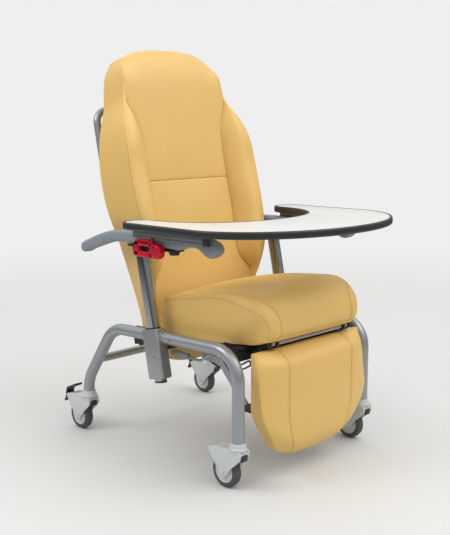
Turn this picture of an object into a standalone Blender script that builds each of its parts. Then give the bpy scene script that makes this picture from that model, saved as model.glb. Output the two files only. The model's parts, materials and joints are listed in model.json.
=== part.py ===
"""Patient recliner chair on four casters, with a tray, a legrest and a push bar.

Metres, +Z up. The sitter faces -Y and the sitter's right hand is at -X. The origin is
on the floor, below the middle of the whole chair.
"""
import math

import bmesh
import bpy
from mathutils import Matrix, Vector

# Clearances and the one size of small pivot pin
GAP = 0.0003
RUNNING_GAP = 0.0004
SMALL_PIN_R = 0.004

# Whole chair
ORIGIN_Y = 0.0356
LEAN = math.radians(12.0)
SEAT_TILT = math.radians(2.2)

# Side frames: bent round tube, cut by the sleeve of the armrest post
STEM_X = 0.302
STEM_Y = 0.367
LEG_BOTTOM = 0.150
TUBE_R = 0.019
TUBE_SIDES = 12
TOP_AT_REAR = (0.2206, 0.3988)
TOP_AT_FRONT = (-STEM_Y, 0.4214)
REAR_KNEE_Z = 0.190
FRONT_BEND_R = 0.090
REAR_BEND_R = 0.115
KNEE_BEND_R = 0.118
CROSS_TUBE_R = 0.014
CROSS_TUBE_YZ = (0.310, 0.272)

# Armrest posts, on an axis that leans like the backrest
POST_X = 0.310
POST_YZ = (0.005, 0.433)
SLEEVE_SIZE = (0.040, 0.074)
SLEEVE_LENGTH = 0.160
SLEEVE_BORE = (0.031, 0.053)
POST_SIZE = (0.025, 0.047)
POST_WALL = 0.002
POST_BOTTOM = -0.168
POST_TOP = 0.261
PLUG_DEPTH = 0.012
COLLAR_SIZE = (0.034, 0.056)
COLLAR_BOTTOM = 0.240

# Armrest pads and the plates below them
PAD_INNER_X = 0.293
PAD_OUTER_X = 0.337
PAD_UNDERSIDE = 0.700
ARM_PLATE = 0.006
ARM_PLATE_X = (0.291, 0.3355)
ARM_PLATE_Y = (-0.125, 0.095)
KNOB_R = 0.019
KNOB_Y = -0.100

# Tray, its rails and the clamps that hold them
TRAY_HALF_WIDTH = 0.405
TRAY_TOP = 0.7795
TRAY_TILT = math.radians(0.76)
TRAY_EDGE_HEIGHT = 0.0225
TRAY_EDGE_WIDTH = 0.009
TRAY_FRONT_CENTRE_Y = -0.270
TRAY_FRONT_DEPTH = 0.300
TRAY_ARM_Y = 0.012
TRAY_ARM_R = 0.055
TRAY_RECESS_DEPTH = 0.267
TRAY_RECESS_POWER = 2.2
PANEL_THICKNESS = 0.0185
PANEL_TOP_DROP = 0.001
RAIL_X = (0.340, 0.352)
RAIL_Y = (-0.268, 0.050)
RAIL_HEIGHT = 0.033
RAIL_CAP_LENGTH = 0.022
CLAMP_Y = (-0.0415, 0.044)
CLAMP_Z = (0.668, 0.719)
CLAMP_SHOE_Y = (-0.028, 0.030)
CLAMP_DRUM_R = 0.0235
CLAMP_DRUM_YZ = (-0.066, 0.692)

# Seat
SEAT_REAR_Y = 0.020
SEAT_BOTTOM_AT_REAR = 0.404
SEAT_HALF_WIDTH = 0.250
SEAT_BOARD = 0.017
SEAT_BOARD_Y = (-0.312, 0.010)
SEAT_BOARD_HALF_WIDTH = 0.225
FRAME_BAR = (0.030, 0.025)
FRONT_BAR_Y = -0.300
REAR_BAR_Y = -0.0075
SPINE_WIDTH = 0.060
LUG_THICKNESS = 0.005
BAR_END_X = 0.2825

# Backrest hinge
BACK_HINGE = (0.105, 0.372)
BACK_PIN_R = 0.006
BACK_BRACKET_X = (0.2765, 0.2825)
CHEEK_X = (0.2245, 0.2295)
CHEEK_R = 0.016

# Backrest, in its own frame: width, depth behind the hinge, height along the back
BACK_FRONT = -0.043
BACK_REAR = 0.066
SHELL_THICKNESS = 0.0127
BACK_BAR_DEPTH = 0.020
BACK_BAR_WIDTH = 0.030
BACK_SPINE_WIDTH = 0.080
BACK_FRAME_U = (0.000, 0.530)
PUSH_BAR_X = 0.222
PUSH_BAR_DEPTH = 0.1335
PUSH_BAR_R = 0.0125
PUSH_BAR_TOP = 0.792
PUSH_BAR_FOOT_BEND = 0.026
PUSH_BAR_TOP_BEND = 0.045

# Legrest, in its own frame at its hinge
LEG_HINGE = (-0.385, 0.428)
LEG_PIN_R = 0.006
LEG_LUG_X = (0.186, 0.194)
LEG_FRONT = -0.052
LEG_REAR = 0.020
LEG_TOP = -0.016
LEG_STRAIGHT = -0.180
LEG_ROUND_POWER = 2.3
LEG_BOTTOM_U = -0.368
LEG_HALF_WIDTH = 0.255
LEG_BOARD = 0.0075
LEG_BAR = 0.005
LEG_ARM_X = 0.160
STAY_PIVOT = (0.065, -0.203)
STAY_X = (-0.2175, -0.2125)
STAY_KNEE = (0.115, 0.123)
STAY_LENGTH = 0.2260
STAY_REST_ANGLE = math.radians(34.2)
STAY_WIDTH = 0.024
STAY_RATIO = -0.85
LEGREST_MAX = math.radians(58.0)
STAY_RAIL_X = (-0.2085, -0.2045)
STAY_RAIL_WIDTH = 0.020
STAY_RAIL_TABS = (-0.255, -0.150)

# Gas spring of the backrest
SPRING_X = 0.243
SPRING_FRONT = (-0.262, 0.345)
SPRING_CRANK = (0.0, -0.090)
SPRING_EYE_OFFSET = (-0.00124, -0.0023)
SPRING_BODY_R = 0.011
SPRING_ROD_R = 0.005
SPRING_BODY_LENGTH = 0.215
SPRING_BORE_DEPTH = 0.150
SPRING_ROD_INSIDE = 0.070
SPRING_EYE_R = 0.0130
SPRING_EYE_HOLE_R = 0.0075

# Release lever
LEVER_PIVOT = (-0.215, 0.383)
LEVER_X = -0.2695
LEVER_ROD_R = 0.0045
LEVER_GRIP_R = 0.0105
LEVER_GRIP_Y = (-0.118, -0.042)
LEVER_GRIP_Z = 0.356

# Casters
WHEEL_R = 0.050
WHEEL_SIDES = 24
HUB_SIDES = 16
TYRE_WIDTH = 0.030
HUB_R = 0.036
TRAIL = 0.047
AXLE_R = 0.004
FORK_WIDTH = 0.044
FORK_SLOT = 0.0332
FORK_TOP = 0.128
FORK_SLOT_R = 0.0535
COLLAR_R = 0.028
STEM_R = 0.010
STEM_LENGTH = 0.045
PEDAL_PIVOT = (0.094, 0.1150)
PEDAL_WIDTH = 0.034


def clear_scene():
    for item in list(bpy.data.objects):
        bpy.data.objects.remove(item, do_unlink=True)


def new_collection(name):
    made = bpy.data.collections.new(name)
    bpy.context.scene.collection.children.link(made)
    return made


def new_material(name, colour, roughness, metallic=0.0):
    made = bpy.data.materials.new(name)
    made.use_nodes = True
    shader = made.node_tree.nodes["Principled BSDF"]
    shader.inputs["Base Color"].default_value = (*colour, 1.0)
    shader.inputs["Roughness"].default_value = roughness
    shader.inputs["Metallic"].default_value = metallic
    return made


clear_scene()
PARTS = new_collection("patient_recliner_chair")
CUTTERS = new_collection("recliner_cutters")
VINYL = new_material("ochre_vinyl", (0.76, 0.51, 0.18), 0.45)
PAINT = new_material("grey_paint", (0.32, 0.34, 0.36), 0.35, 0.6)
BLACK_STEEL = new_material("black_steel", (0.02, 0.02, 0.022), 0.45, 0.3)
CHROME = new_material("chrome", (0.75, 0.75, 0.76), 0.08, 1.0)
GREY_FOAM = new_material("grey_moulded_foam", (0.26, 0.29, 0.32), 0.6)
BLACK_PLASTIC = new_material("black_plastic", (0.02, 0.021, 0.022), 0.4)
RED_PLASTIC = new_material("red_plastic", (0.66, 0.0, 0.024), 0.35)
LAMINATE = new_material("off_white_laminate", (0.81, 0.81, 0.79), 0.4)
ALUMINIUM = new_material("aluminium", (0.6, 0.61, 0.62), 0.35, 1.0)
DARK_BOARD = new_material("black_stained_plywood", (0.03, 0.028, 0.026), 0.6)
CASTER_PLASTIC = new_material("caster_plastic", (0.58, 0.6, 0.59), 0.45)
TYRE_RUBBER = new_material("tyre_rubber", (0.11, 0.115, 0.105), 0.7)


def axis_frame(name, location, parent=None, turn=0.0):
    """An empty that carries pieces: a joint axis or a tilted plane."""
    empty = bpy.data.objects.new(name, None)
    PARTS.objects.link(empty)
    empty.empty_display_size = 0.05
    empty.location = location
    empty.rotation_euler = (turn, 0.0, 0.0)
    empty.parent = parent
    return empty


CHAIR = axis_frame("chair_origin", (0.0, ORIGIN_Y, 0.0))


def piece(name, mesh, material, parent=None, smooth=False):
    """One sub-part, in its parent's frame."""
    made = bpy.data.objects.new(name, mesh)
    PARTS.objects.link(made)
    made.parent = parent or CHAIR
    mesh.materials.clear()
    mesh.materials.append(material)
    if smooth:
        mesh.shade_smooth()
        mesh.set_sharp_from_angle(angle=math.radians(35.0))
    return made


def combine(target, mesh, operation):
    """Cut a mesh out of a piece, or join it on, in the piece's own frame."""
    tool = bpy.data.objects.new(f"{target.name}_{operation.lower()}_{len(target.modifiers)}", mesh)
    CUTTERS.objects.link(tool)
    tool.parent = target
    tool.hide_render = True
    tool.display_type = "WIRE"
    step = target.modifiers.new(operation.title(), "BOOLEAN")
    step.operation = operation
    step.solver = "EXACT"
    step.object = tool


def cut(target, *meshes):
    for mesh in meshes:
        combine(target, mesh, "DIFFERENCE")


def join(target, *meshes):
    for mesh in meshes:
        combine(target, mesh, "UNION")


def finished(builder, name):
    mesh = bpy.data.meshes.new(name)
    bmesh.ops.recalc_face_normals(builder, faces=builder.faces)
    builder.to_mesh(mesh)
    builder.free()
    return mesh


def box(low, high, bevel=0.0, segments=1):
    """A box between two corners, with its edges rounded off."""
    low = Vector(low)
    high = Vector(high)
    builder = bmesh.new()
    bmesh.ops.create_cube(builder, size=1.0)
    bmesh.ops.scale(builder, vec=high - low, verts=builder.verts)
    bmesh.ops.translate(builder, vec=(low + high) / 2.0, verts=builder.verts)
    if bevel:
        bmesh.ops.bevel(builder, geom=builder.edges[:], offset=bevel, segments=segments,
                        profile=0.5, affect="EDGES")
    return finished(builder, "box")


def rod(start, end, radius, sides=16, end_radius=None):
    """A round bar between two points, tapered if the end radius differs."""
    start = Vector(start)
    end = Vector(end)
    along = end - start
    builder = bmesh.new()
    bmesh.ops.create_cone(builder, cap_ends=True, segments=sides, radius1=radius,
                          radius2=radius if end_radius is None else end_radius,
                          depth=along.length)
    turn = Vector((0.0, 0.0, 1.0)).rotation_difference(along.normalized()).to_matrix()
    bmesh.ops.rotate(builder, cent=(0.0, 0.0, 0.0), matrix=turn, verts=builder.verts)
    bmesh.ops.translate(builder, vec=(start + end) / 2.0, verts=builder.verts)
    return finished(builder, "rod")


def pin(x_start, x_end, at, radius, sides=16):
    """A round bar across the chair, at a place (y, z)."""
    return rod((x_start, *at), (x_end, *at), radius, sides)


def mesh_of_curve(curve):
    """Turn a curve into a closed mesh with its caps welded on."""
    holder = bpy.data.objects.new("curve", curve)
    bpy.context.scene.collection.objects.link(holder)
    graph = bpy.context.evaluated_depsgraph_get()
    mesh = bpy.data.meshes.new_from_object(holder.evaluated_get(graph))
    bpy.data.objects.remove(holder, do_unlink=True)
    builder = bmesh.new()
    builder.from_mesh(mesh)
    bmesh.ops.remove_doubles(builder, verts=builder.verts, dist=0.00001)
    bpy.data.meshes.remove(mesh)
    return finished(builder, "curve_mesh")


def add_spline(curve, points, cyclic):
    spline = curve.splines.new("POLY")
    spline.points.add(len(points) - 1)
    for slot, point in zip(spline.points, points):
        slot.co = (*point, 1.0)
    spline.use_cyclic_u = cyclic


def tube(points, radius, sides):
    """A bent round tube along points, with closed ends."""
    curve = bpy.data.curves.new("tube", "CURVE")
    curve.dimensions = "3D"
    curve.bevel_depth = radius
    curve.bevel_resolution = sides // 2 - 2
    curve.use_fill_caps = True
    add_spline(curve, points, False)
    return mesh_of_curve(curve)


def plate(outlines, thickness):
    """A flat plate centred on the XY plane; outlines after the first are holes."""
    curve = bpy.data.curves.new("plate", "CURVE")
    curve.dimensions = "2D"
    curve.fill_mode = "BOTH"
    curve.extrude = thickness / 2.0
    for outline in outlines:
        add_spline(curve, [(x, y, 0.0) for x, y in outline], True)
    return mesh_of_curve(curve)


def moved(mesh, change):
    """Apply a change of place, point by point."""
    for vertex in mesh.vertices:
        vertex.co = change(vertex.co.copy())
    builder = bmesh.new()
    builder.from_mesh(mesh)
    bmesh.ops.recalc_face_normals(builder, faces=builder.faces)
    builder.to_mesh(mesh)
    builder.free()
    return mesh


def side_plate(outlines, x_low, x_high):
    """A plate whose outlines are drawn in (y, z), standing between two x places."""
    middle = (x_low + x_high) / 2.0
    flat = plate(outlines, x_high - x_low)
    return moved(flat, lambda p: Vector((p.z + middle, p.x, p.y)))


def level_plate(outlines, z_low, z_high):
    """A plate whose outlines are drawn in (x, y), lying between two heights."""
    middle = (z_low + z_high) / 2.0
    return moved(plate(outlines, z_high - z_low), lambda p: p + Vector((0.0, 0.0, middle)))


def back_plate(outlines, depth_low, depth_high):
    """A plate whose outlines are drawn in (x, height), standing across the chair."""
    middle = (depth_low + depth_high) / 2.0
    flat = plate(outlines, depth_high - depth_low)
    return moved(flat, lambda p: Vector((p.x, p.z + middle, p.y)))


def arc(centre, radius, start, end, steps):
    """Points on a circle, from one angle to another, in degrees."""
    points = []
    for step in range(steps + 1):
        angle = math.radians(start + (end - start) * step / steps)
        points.append((centre[0] + radius * math.cos(angle), centre[1] + radius * math.sin(angle)))
    return points


def circle(centre, radius, sides):
    return arc(centre, radius, 0.0, 360.0, sides)[:-1]


def rounded_rectangle(width, height, radius, steps=3):
    points = []
    for corner, start in (((1, 1), 0.0), ((-1, 1), 90.0), ((-1, -1), 180.0), ((1, -1), 270.0)):
        centre = (corner[0] * (width / 2.0 - radius), corner[1] * (height / 2.0 - radius))
        points += arc(centre, radius, start, start + 90.0, steps)
    return points


def rounded_path(corners, radii, steps=6):
    """Straight runs joined by arcs; one radius for each inner corner."""
    corners = [Vector(corner) for corner in corners]
    points = [corners[0]]
    for before, corner, after, radius in zip(corners, corners[1:], corners[2:], radii):
        into = (before - corner).normalized()
        out = (after - corner).normalized()
        half = into.angle(out) / 2.0
        centre = corner + (into + out).normalized() * (radius / math.sin(half))
        first = corner + into * (radius / math.tan(half)) - centre
        last = corner + out * (radius / math.tan(half)) - centre
        axis = first.cross(last).normalized()
        for step in range(steps + 1):
            turn = Matrix.Rotation(first.angle(last) * step / steps, 3, axis)
            points.append(centre + turn @ first)
    points.append(corners[-1])
    return points


def round_end(tip, inner, radius):
    """Points of the half circle that closes a strip at its tip."""
    start = math.degrees(math.atan2(tip.y - inner.y, tip.x - inner.x)) + 90.0
    return arc(tip, radius, start, start - 180.0, 6)[1:-1]


def strip(points, width):
    """The outline of a flat strip of one width along (y, z) points, with round ends."""
    points = [Vector(point) for point in points]
    left = []
    right = []
    for index, point in enumerate(points):
        before = points[max(index - 1, 0)]
        after = points[min(index + 1, len(points) - 1)]
        along = (after - before).normalized()
        aside = Vector((-along.y, along.x)) * (width / 2.0)
        left.append(point + aside)
        right.append(point - aside)
    tail = round_end(points[-1], points[-2], width / 2.0)
    head = round_end(points[0], points[1], width / 2.0)
    return [tuple(p) for p in left] + tail + [tuple(p) for p in reversed(right)] + head


def loft(rings):
    """A closed skin through rings of points, closed flat at both ends."""
    builder = bmesh.new()
    loops = [[builder.verts.new(point) for point in ring] for ring in rings]
    count = len(rings[0])
    for lower, upper in zip(loops, loops[1:]):
        for index in range(count):
            following = (index + 1) % count
            builder.faces.new((lower[index], lower[following], upper[following], upper[index]))
    builder.faces.new(loops[0])
    builder.faces.new(loops[-1])
    return finished(builder, "loft")


def between(table, at):
    """A smooth reading between the rows of a short table of (place, value)."""
    if at <= table[0][0]:
        return table[0][1]
    for (start, low), (end, high) in zip(table, table[1:]):
        if at <= end:
            share = (at - start) / (end - start)
            share = share * share * (3.0 - 2.0 * share)
            return low + (high - low) * share
    return table[-1][1]


def turned(profile, steps, start=0.0):
    """A shape turned about the Z axis from a profile of (radius, z), top to bottom."""
    mesh = bpy.data.meshes.new("profile")
    edges = [(index, (index + 1) % len(profile)) for index in range(len(profile))]
    turn = math.radians(start)
    places = [(r * math.cos(turn), r * math.sin(turn), z) for r, z in profile]
    mesh.from_pydata(places, edges, [])
    holder = bpy.data.objects.new("profile", mesh)
    bpy.context.scene.collection.objects.link(holder)
    screw = holder.modifiers.new("Screw", "SCREW")
    screw.steps = steps
    screw.render_steps = steps
    screw.use_merge_vertices = True
    screw.merge_threshold = 0.00001
    graph = bpy.context.evaluated_depsgraph_get()
    made = bpy.data.meshes.new_from_object(holder.evaluated_get(graph))
    bpy.data.objects.remove(holder, do_unlink=True)
    builder = bmesh.new()
    builder.from_mesh(made)
    bmesh.ops.remove_doubles(builder, verts=builder.verts, dist=0.00001)
    on_axis = [edge for edge in builder.edges if not edge.link_faces]
    bmesh.ops.delete(builder, geom=on_axis, context="EDGES")
    return finished(builder, "turned")


def sides():
    """The two sides of the chair: the name's ending and the sign of x."""
    return (("right", -1.0), ("left", 1.0))


def ordered(sign, inner, outer):
    """Two x places of one side, low first."""
    return tuple(sorted((sign * inner, sign * outer)))


# Side frames
def side_tube_path(sign):
    """The whole side tube, before it is cut by the sleeve, as (front, rear) halves."""
    x = sign * STEM_X
    cut_y, cut_z = POST_YZ
    slope = (TOP_AT_REAR[1] - TOP_AT_FRONT[1]) / (TOP_AT_REAR[0] - TOP_AT_FRONT[0])
    middle = (x, cut_y, TOP_AT_FRONT[1] + slope * (cut_y - TOP_AT_FRONT[0]))
    front = rounded_path([(x, -STEM_Y, LEG_BOTTOM), (x, *TOP_AT_FRONT), middle], [FRONT_BEND_R], 8)
    rear = rounded_path([middle, (x, *TOP_AT_REAR), (x, STEM_Y, REAR_KNEE_Z), (x, STEM_Y, LEG_BOTTOM)],
                        [REAR_BEND_R, KNEE_BEND_R], 5)
    return front, rear


def post_frame(name, sign):
    """The leaning axis of an armrest post."""
    return axis_frame(name, (sign * POST_X, *POST_YZ), CHAIR, -LEAN)


def leaning_block(size, low, high):
    """A block along the post's axis, as a mesh in the chair's frame."""
    half_x = size[0] / 2.0
    half_y = size[1] / 2.0
    return box((-half_x, -half_y, low), (half_x, half_y, high))


def to_chair(mesh, sign):
    """Move a mesh from the post's frame to the chair's frame."""
    y, z = POST_YZ

    def change(p):
        return Vector((p.x + sign * POST_X,
                       y + p.y * math.cos(LEAN) + p.z * math.sin(LEAN),
                       z - p.y * math.sin(LEAN) + p.z * math.cos(LEAN)))

    return moved(mesh, change)


def side_frames():
    for side, sign in sides():
        front, rear = side_tube_path(sign)
        for end, path, stem_y in (("front", front, -STEM_Y), ("rear", rear, STEM_Y)):
            leg = piece(f"{end}_leg_tube_{side}", tube(path, TUBE_R, TUBE_SIDES), PAINT, smooth=True)
            room = (4 * TUBE_R, SLEEVE_SIZE[1] + 2 * GAP)
            cut(leg, to_chair(leaning_block(room, -0.3, 0.2), sign))
            foot = (sign * STEM_X, stem_y)
            cut(leg, rod((*foot, LEG_BOTTOM - 0.01), (*foot, LEG_BOTTOM + STEM_LENGTH + GAP),
                         STEM_R + GAP))
        axis = post_frame(f"post_axis_{side}", sign)
        outline = rounded_rectangle(*SLEEVE_SIZE, 0.006)
        bore = rounded_rectangle(*SLEEVE_BORE, 0.009)
        sleeve = level_plate([outline, bore], -SLEEVE_LENGTH, 0.0)
        piece(f"post_sleeve_{side}", sleeve, PAINT, axis)
        liner = rounded_rectangle(SLEEVE_BORE[0] - 2 * GAP, SLEEVE_BORE[1] - 2 * GAP, 0.009)
        room = rounded_rectangle(POST_SIZE[0] + 2 * RUNNING_GAP, POST_SIZE[1] + 2 * RUNNING_GAP, 0.0123)
        bush = level_plate([liner, room], 0.004 - SLEEVE_LENGTH, 0.004)
        piece(f"sleeve_bush_{side}", bush, BLACK_PLASTIC, axis)
    y, z = CROSS_TUBE_YZ
    cross = piece("rear_cross_tube", pin(-STEM_X, STEM_X, (y, z), CROSS_TUBE_R), PAINT, smooth=True)
    for side, sign in sides():
        cut(cross, tube(side_tube_path(sign)[1], TUBE_R + GAP, TUBE_SIDES))


# Seat
def seat_frame_axis():
    return axis_frame("seat_plane", (0.0, SEAT_REAR_Y, SEAT_BOTTOM_AT_REAR), CHAIR, -SEAT_TILT)


def seat_local(y, z):
    """A place (y, z) of the chair, in the tilted frame of the seat."""
    dy = y - SEAT_REAR_Y
    dz = z - SEAT_BOTTOM_AT_REAR
    return (dy * math.cos(SEAT_TILT) - dz * math.sin(SEAT_TILT),
            dy * math.sin(SEAT_TILT) + dz * math.cos(SEAT_TILT))


def eye(at, radius, hole_radius):
    return [circle(at, radius, 16), circle(at, hole_radius, 16)]


def seat_steel(axis):
    """Two cross bars on a spine, with lugs to the side tubes and ears for what hangs on them."""
    top = -SEAT_BOARD - 2 * GAP
    low = top - FRAME_BAR[1]
    front = FRONT_BAR_Y - SEAT_REAR_Y
    rear = REAR_BAR_Y - SEAT_REAR_Y
    half = FRAME_BAR[0] / 2.0
    bar = piece("seat_frame", box((-BAR_END_X, front - half, low), (BAR_END_X, front + half, top)),
                BLACK_STEEL, axis)
    join(bar, box((-SPINE_WIDTH / 2.0, front, low + 0.002), (SPINE_WIDTH / 2.0, rear, top - 0.002)))
    join(bar, box((-BAR_END_X, rear - half, low), (BAR_END_X, rear + half, top)))
    for side, sign in sides():
        for y in (front, rear):
            x_low, x_high = ordered(sign, BAR_END_X - LUG_THICKNESS, BAR_END_X)
            join(bar, box((x_low, y - half + 0.002, low + 0.004), (x_high, y + half - 0.002, 0.020)))
        x_low, x_high = ordered(sign, *LEG_LUG_X)
        hinge = seat_local(*LEG_HINGE)
        below = [seat_local(-0.355, 0.4125), seat_local(-0.326, 0.384), (front, low + 0.005)]
        above = [(front, top - 0.003), (front - half - 0.003, top - 0.001), seat_local(-0.350, 0.421)]
        nose = arc(hinge, 0.0105, 70.0, 270.0, 8)
        join(bar, side_plate([nose + below + above], x_low, x_high))
        cut(bar, pin(x_low - 0.01, x_high + 0.01, hinge, LEG_PIN_R + GAP))
    spring = seat_local(*SPRING_FRONT)
    for x in (SPRING_X - 0.0135, SPRING_X + 0.0135):
        ear = [(front - half + 0.003, top - 0.004), *arc(spring, 0.012, 235.0, 360.0, 6),
               (front + half + 0.022, top - 0.004)]
        join(bar, side_plate([ear], x - 0.002, x + 0.002))
    join(bar, pin(SPRING_X - 0.017, SPRING_X + 0.017, spring, SMALL_PIN_R, 12))
    pivot = seat_local(*LEVER_PIVOT)
    join(bar, pin(0.0, LEVER_X + 0.024, pivot, 0.008))


def seat_section(y):
    """Ring of the seat cushion at one depth: flat below, drawn in at the sides, pillowed above."""
    seam = between(((-0.418, 0.496), (-0.405, 0.514), (-0.36, 0.537), (-0.216, 0.554),
                    (-0.05, 0.530), (0.045, 0.507)), y)
    bottom = SEAT_BOTTOM_AT_REAR + (SEAT_REAR_Y - y) * math.tan(SEAT_TILT)
    bottom += between(((-0.418, 0.047), (-0.405, 0.035), (-0.385, 0.024), (-0.36, 0.0125),
                       (-0.33, 0.003), (-0.30, 0.0)), y)
    half = SEAT_HALF_WIDTH - between(((-0.418, 0.060), (-0.405, 0.034), (-0.37, 0.010), (-0.30, 0.0),
                                      (0.005, 0.0), (0.045, 0.018)), y)
    crown = between(((-0.418, 0.004), (-0.405, 0.010), (-0.385, 0.028), (-0.355, 0.044), (-0.32, 0.046),
                     (-0.21, 0.035), (-0.05, 0.028), (0.045, 0.012)), y)
    lean = between(((-0.12, 0.0), (0.02, math.tan(LEAN))), y)
    left = [(half * 0.4, bottom), (half - 0.03, bottom), (half - 0.008, bottom + 0.004),
            (half - 0.001, bottom + 0.016), (half - 0.005, (bottom + seam) / 2.0), (half, seam - 0.010)]
    for share in (0.99, 0.965, 0.92, 0.86, 0.76, 0.6, 0.4, 0.2):
        left.append((half * share, seam + crown * math.sqrt(1.0 - share ** 8)))
    right = [(-x, z) for x, z in reversed(left)]
    ring = left + [(0.0, seam + crown)] + right
    return [Vector((x, y + lean * (z - bottom), z)) for x, z in ring]


def seat():
    axis = seat_frame_axis()
    seat_steel(axis)
    low = (-SEAT_BOARD_HALF_WIDTH, SEAT_BOARD_Y[0] - SEAT_REAR_Y, -SEAT_BOARD - GAP)
    high = (SEAT_BOARD_HALF_WIDTH, SEAT_BOARD_Y[1] - SEAT_REAR_Y, -GAP * 3)
    piece("seat_board", box(low, high, 0.003), DARK_BOARD, axis)
    stations = (-0.418, -0.413, -0.405, -0.392, -0.375, -0.35, -0.31, -0.26, -0.20, -0.14, -0.08,
                -0.03, 0.015, 0.030, 0.039, 0.043)
    piece("seat_cushion", loft([seat_section(y) for y in stations]), VINYL, smooth=True)


# Backrest
BACK_REAR_WIDTHS = ((-0.100, 0.186), (-0.060, 0.200), (0.10, 0.214), (0.24, 0.239), (0.32, 0.255),
                    (0.46, 0.289), (0.54, 0.293), (0.64, 0.284), (0.70, 0.269), (0.785, 0.237),
                    (0.86, 0.224), (0.905, 0.208), (0.938, 0.182), (0.957, 0.150), (0.968, 0.100))
BACK_FRONT_WIDTHS = ((-0.100, 0.190), (-0.060, 0.204), (0.08, 0.224), (0.25, 0.272), (0.36, 0.285),
                     (0.54, 0.293), (0.64, 0.288), (0.70, 0.275), (0.785, 0.239),
                     (0.86, 0.226), (0.905, 0.211), (0.938, 0.186), (0.957, 0.152), (0.968, 0.100))
BACK_WINGS = ((0.110, 0.0), (0.165, 0.036), (0.27, 0.073), (0.38, 0.070), (0.52, 0.057), (0.70, 0.050),
              (0.80, 0.0))
WING_INNER_SHARE = 0.60


def back_section(u):
    """Ring of the back cushion at one height: a flat rear and wings that stand forward."""
    back_half = between(BACK_REAR_WIDTHS, u)
    half = between(BACK_FRONT_WIDTHS, u)
    wing = between(BACK_WINGS, u)
    ends = between(((-0.100, 0.022), (-0.075, 0.0), (0.93, 0.0), (0.968, 0.034)), u)
    front = BACK_FRONT + ends
    rear = BACK_REAR - ends * 0.5

    def face(share):
        rise = max(0.0, (abs(share) - WING_INNER_SHARE) / (0.94 - WING_INNER_SHARE))
        rise = min(1.0, rise)
        rise = rise * rise * (3.0 - 2.0 * rise)
        return front - wing * rise - 0.005 * math.cos(share * math.pi / 2.0)

    left = [(back_half - 0.006, rear - 0.004), (back_half, rear - 0.018),
            ((back_half + half) / 2.0 - 0.003, (rear + front) / 2.0), (half, front + 0.022 - wing * 0.75),
            (half - 0.004, front + 0.008 - wing)]
    shares = (0.95, 0.88, 0.80, 0.71, 0.62, 0.52, 0.35, 0.15)
    left += [(half * share, face(share)) for share in shares]
    right = [(-x, v) for x, v in reversed(left)]
    flat = [(x * back_half, rear) for x in (-0.92, -0.45, 0.45, 0.92)]
    ring = flat + left + [(0.0, face(0.0))] + right
    return [Vector((x, v, u)) for x, v in ring]


def back_outline(inset, low, high, steps):
    """The outline of the back, drawn in from the cushion's own outline."""
    heights = [low + (high - low) * step / steps for step in range(steps + 1)]
    right = [(between(BACK_REAR_WIDTHS, u) - inset, u) for u in heights]
    return right + [(-x, u) for x, u in reversed(right)]


def backrest():
    axis = axis_frame("back_axis", (0.0, *BACK_HINGE), CHAIR, -LEAN)
    stations = (-0.100, -0.094, -0.075, -0.02, 0.06, 0.11, 0.14, 0.17, 0.22, 0.28, 0.34, 0.42, 0.52, 0.60,
                0.66, 0.70, 0.735, 0.77, 0.82, 0.87, 0.905, 0.93, 0.95, 0.962, 0.968)
    piece("back_cushion", loft([back_section(u) for u in stations]), VINYL, axis, smooth=True)
    shell_rear = BACK_REAR + GAP + SHELL_THICKNESS
    shell = back_plate([back_outline(0.007, -0.080, 0.925, 24)], BACK_REAR + GAP, shell_rear)
    piece("back_shell", shell, VINYL, axis)
    steel_front = shell_rear + GAP
    steel_rear = steel_front + BACK_BAR_DEPTH
    low, high = BACK_FRAME_U
    spine = BACK_SPINE_WIDTH / 2.0
    frame = piece("back_frame", box((-spine, steel_front, low), (spine, steel_rear, high + 0.1)),
                  BLACK_STEEL, axis)
    reach = BACK_BAR_WIDTH / 2.0
    for u, half in ((low, CHEEK_X[0] + 0.001), (high, PUSH_BAR_X + 0.014)):
        join(frame, box((-half, steel_front, u - reach), (half, steel_rear, u + reach)))
    for side, sign in sides():
        x_low, x_high = ordered(sign, *CHEEK_X)
        cheek = [(steel_rear, -0.02), (steel_rear, 0.03), (0.03, 0.03)]
        cheek += arc((0.0, 0.0), CHEEK_R, 60.0, 180.0, 5)
        if side == "left":
            cheek += [(-0.014, -0.09), *arc(SPRING_CRANK, 0.013, 200.0, 340.0, 5), (0.016, -0.05)]
        else:
            cheek += arc((0.0, 0.0), CHEEK_R, 210.0, 290.0, 4)
        join(frame, side_plate([cheek], x_low, x_high))
        cut(frame, pin(x_low - 0.01, x_high + 0.01, (0.0, 0.0), BACK_PIN_R + GAP))
    join(frame, pin(CHEEK_X[0] + 0.001, SPRING_X + 0.009, SPRING_CRANK, SMALL_PIN_R, 12))
    foot = steel_rear + GAP
    loop = [(-PUSH_BAR_X, foot, high), (-PUSH_BAR_X, PUSH_BAR_DEPTH, high),
            (-PUSH_BAR_X, PUSH_BAR_DEPTH, PUSH_BAR_TOP), (PUSH_BAR_X, PUSH_BAR_DEPTH, PUSH_BAR_TOP),
            (PUSH_BAR_X, PUSH_BAR_DEPTH, high), (PUSH_BAR_X, foot, high)]
    bends = [PUSH_BAR_FOOT_BEND, PUSH_BAR_TOP_BEND, PUSH_BAR_TOP_BEND, PUSH_BAR_FOOT_BEND]
    route = rounded_path(loop, bends, 5)
    piece("push_bar", tube(route, PUSH_BAR_R, 12), PAINT, axis, smooth=True)


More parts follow.
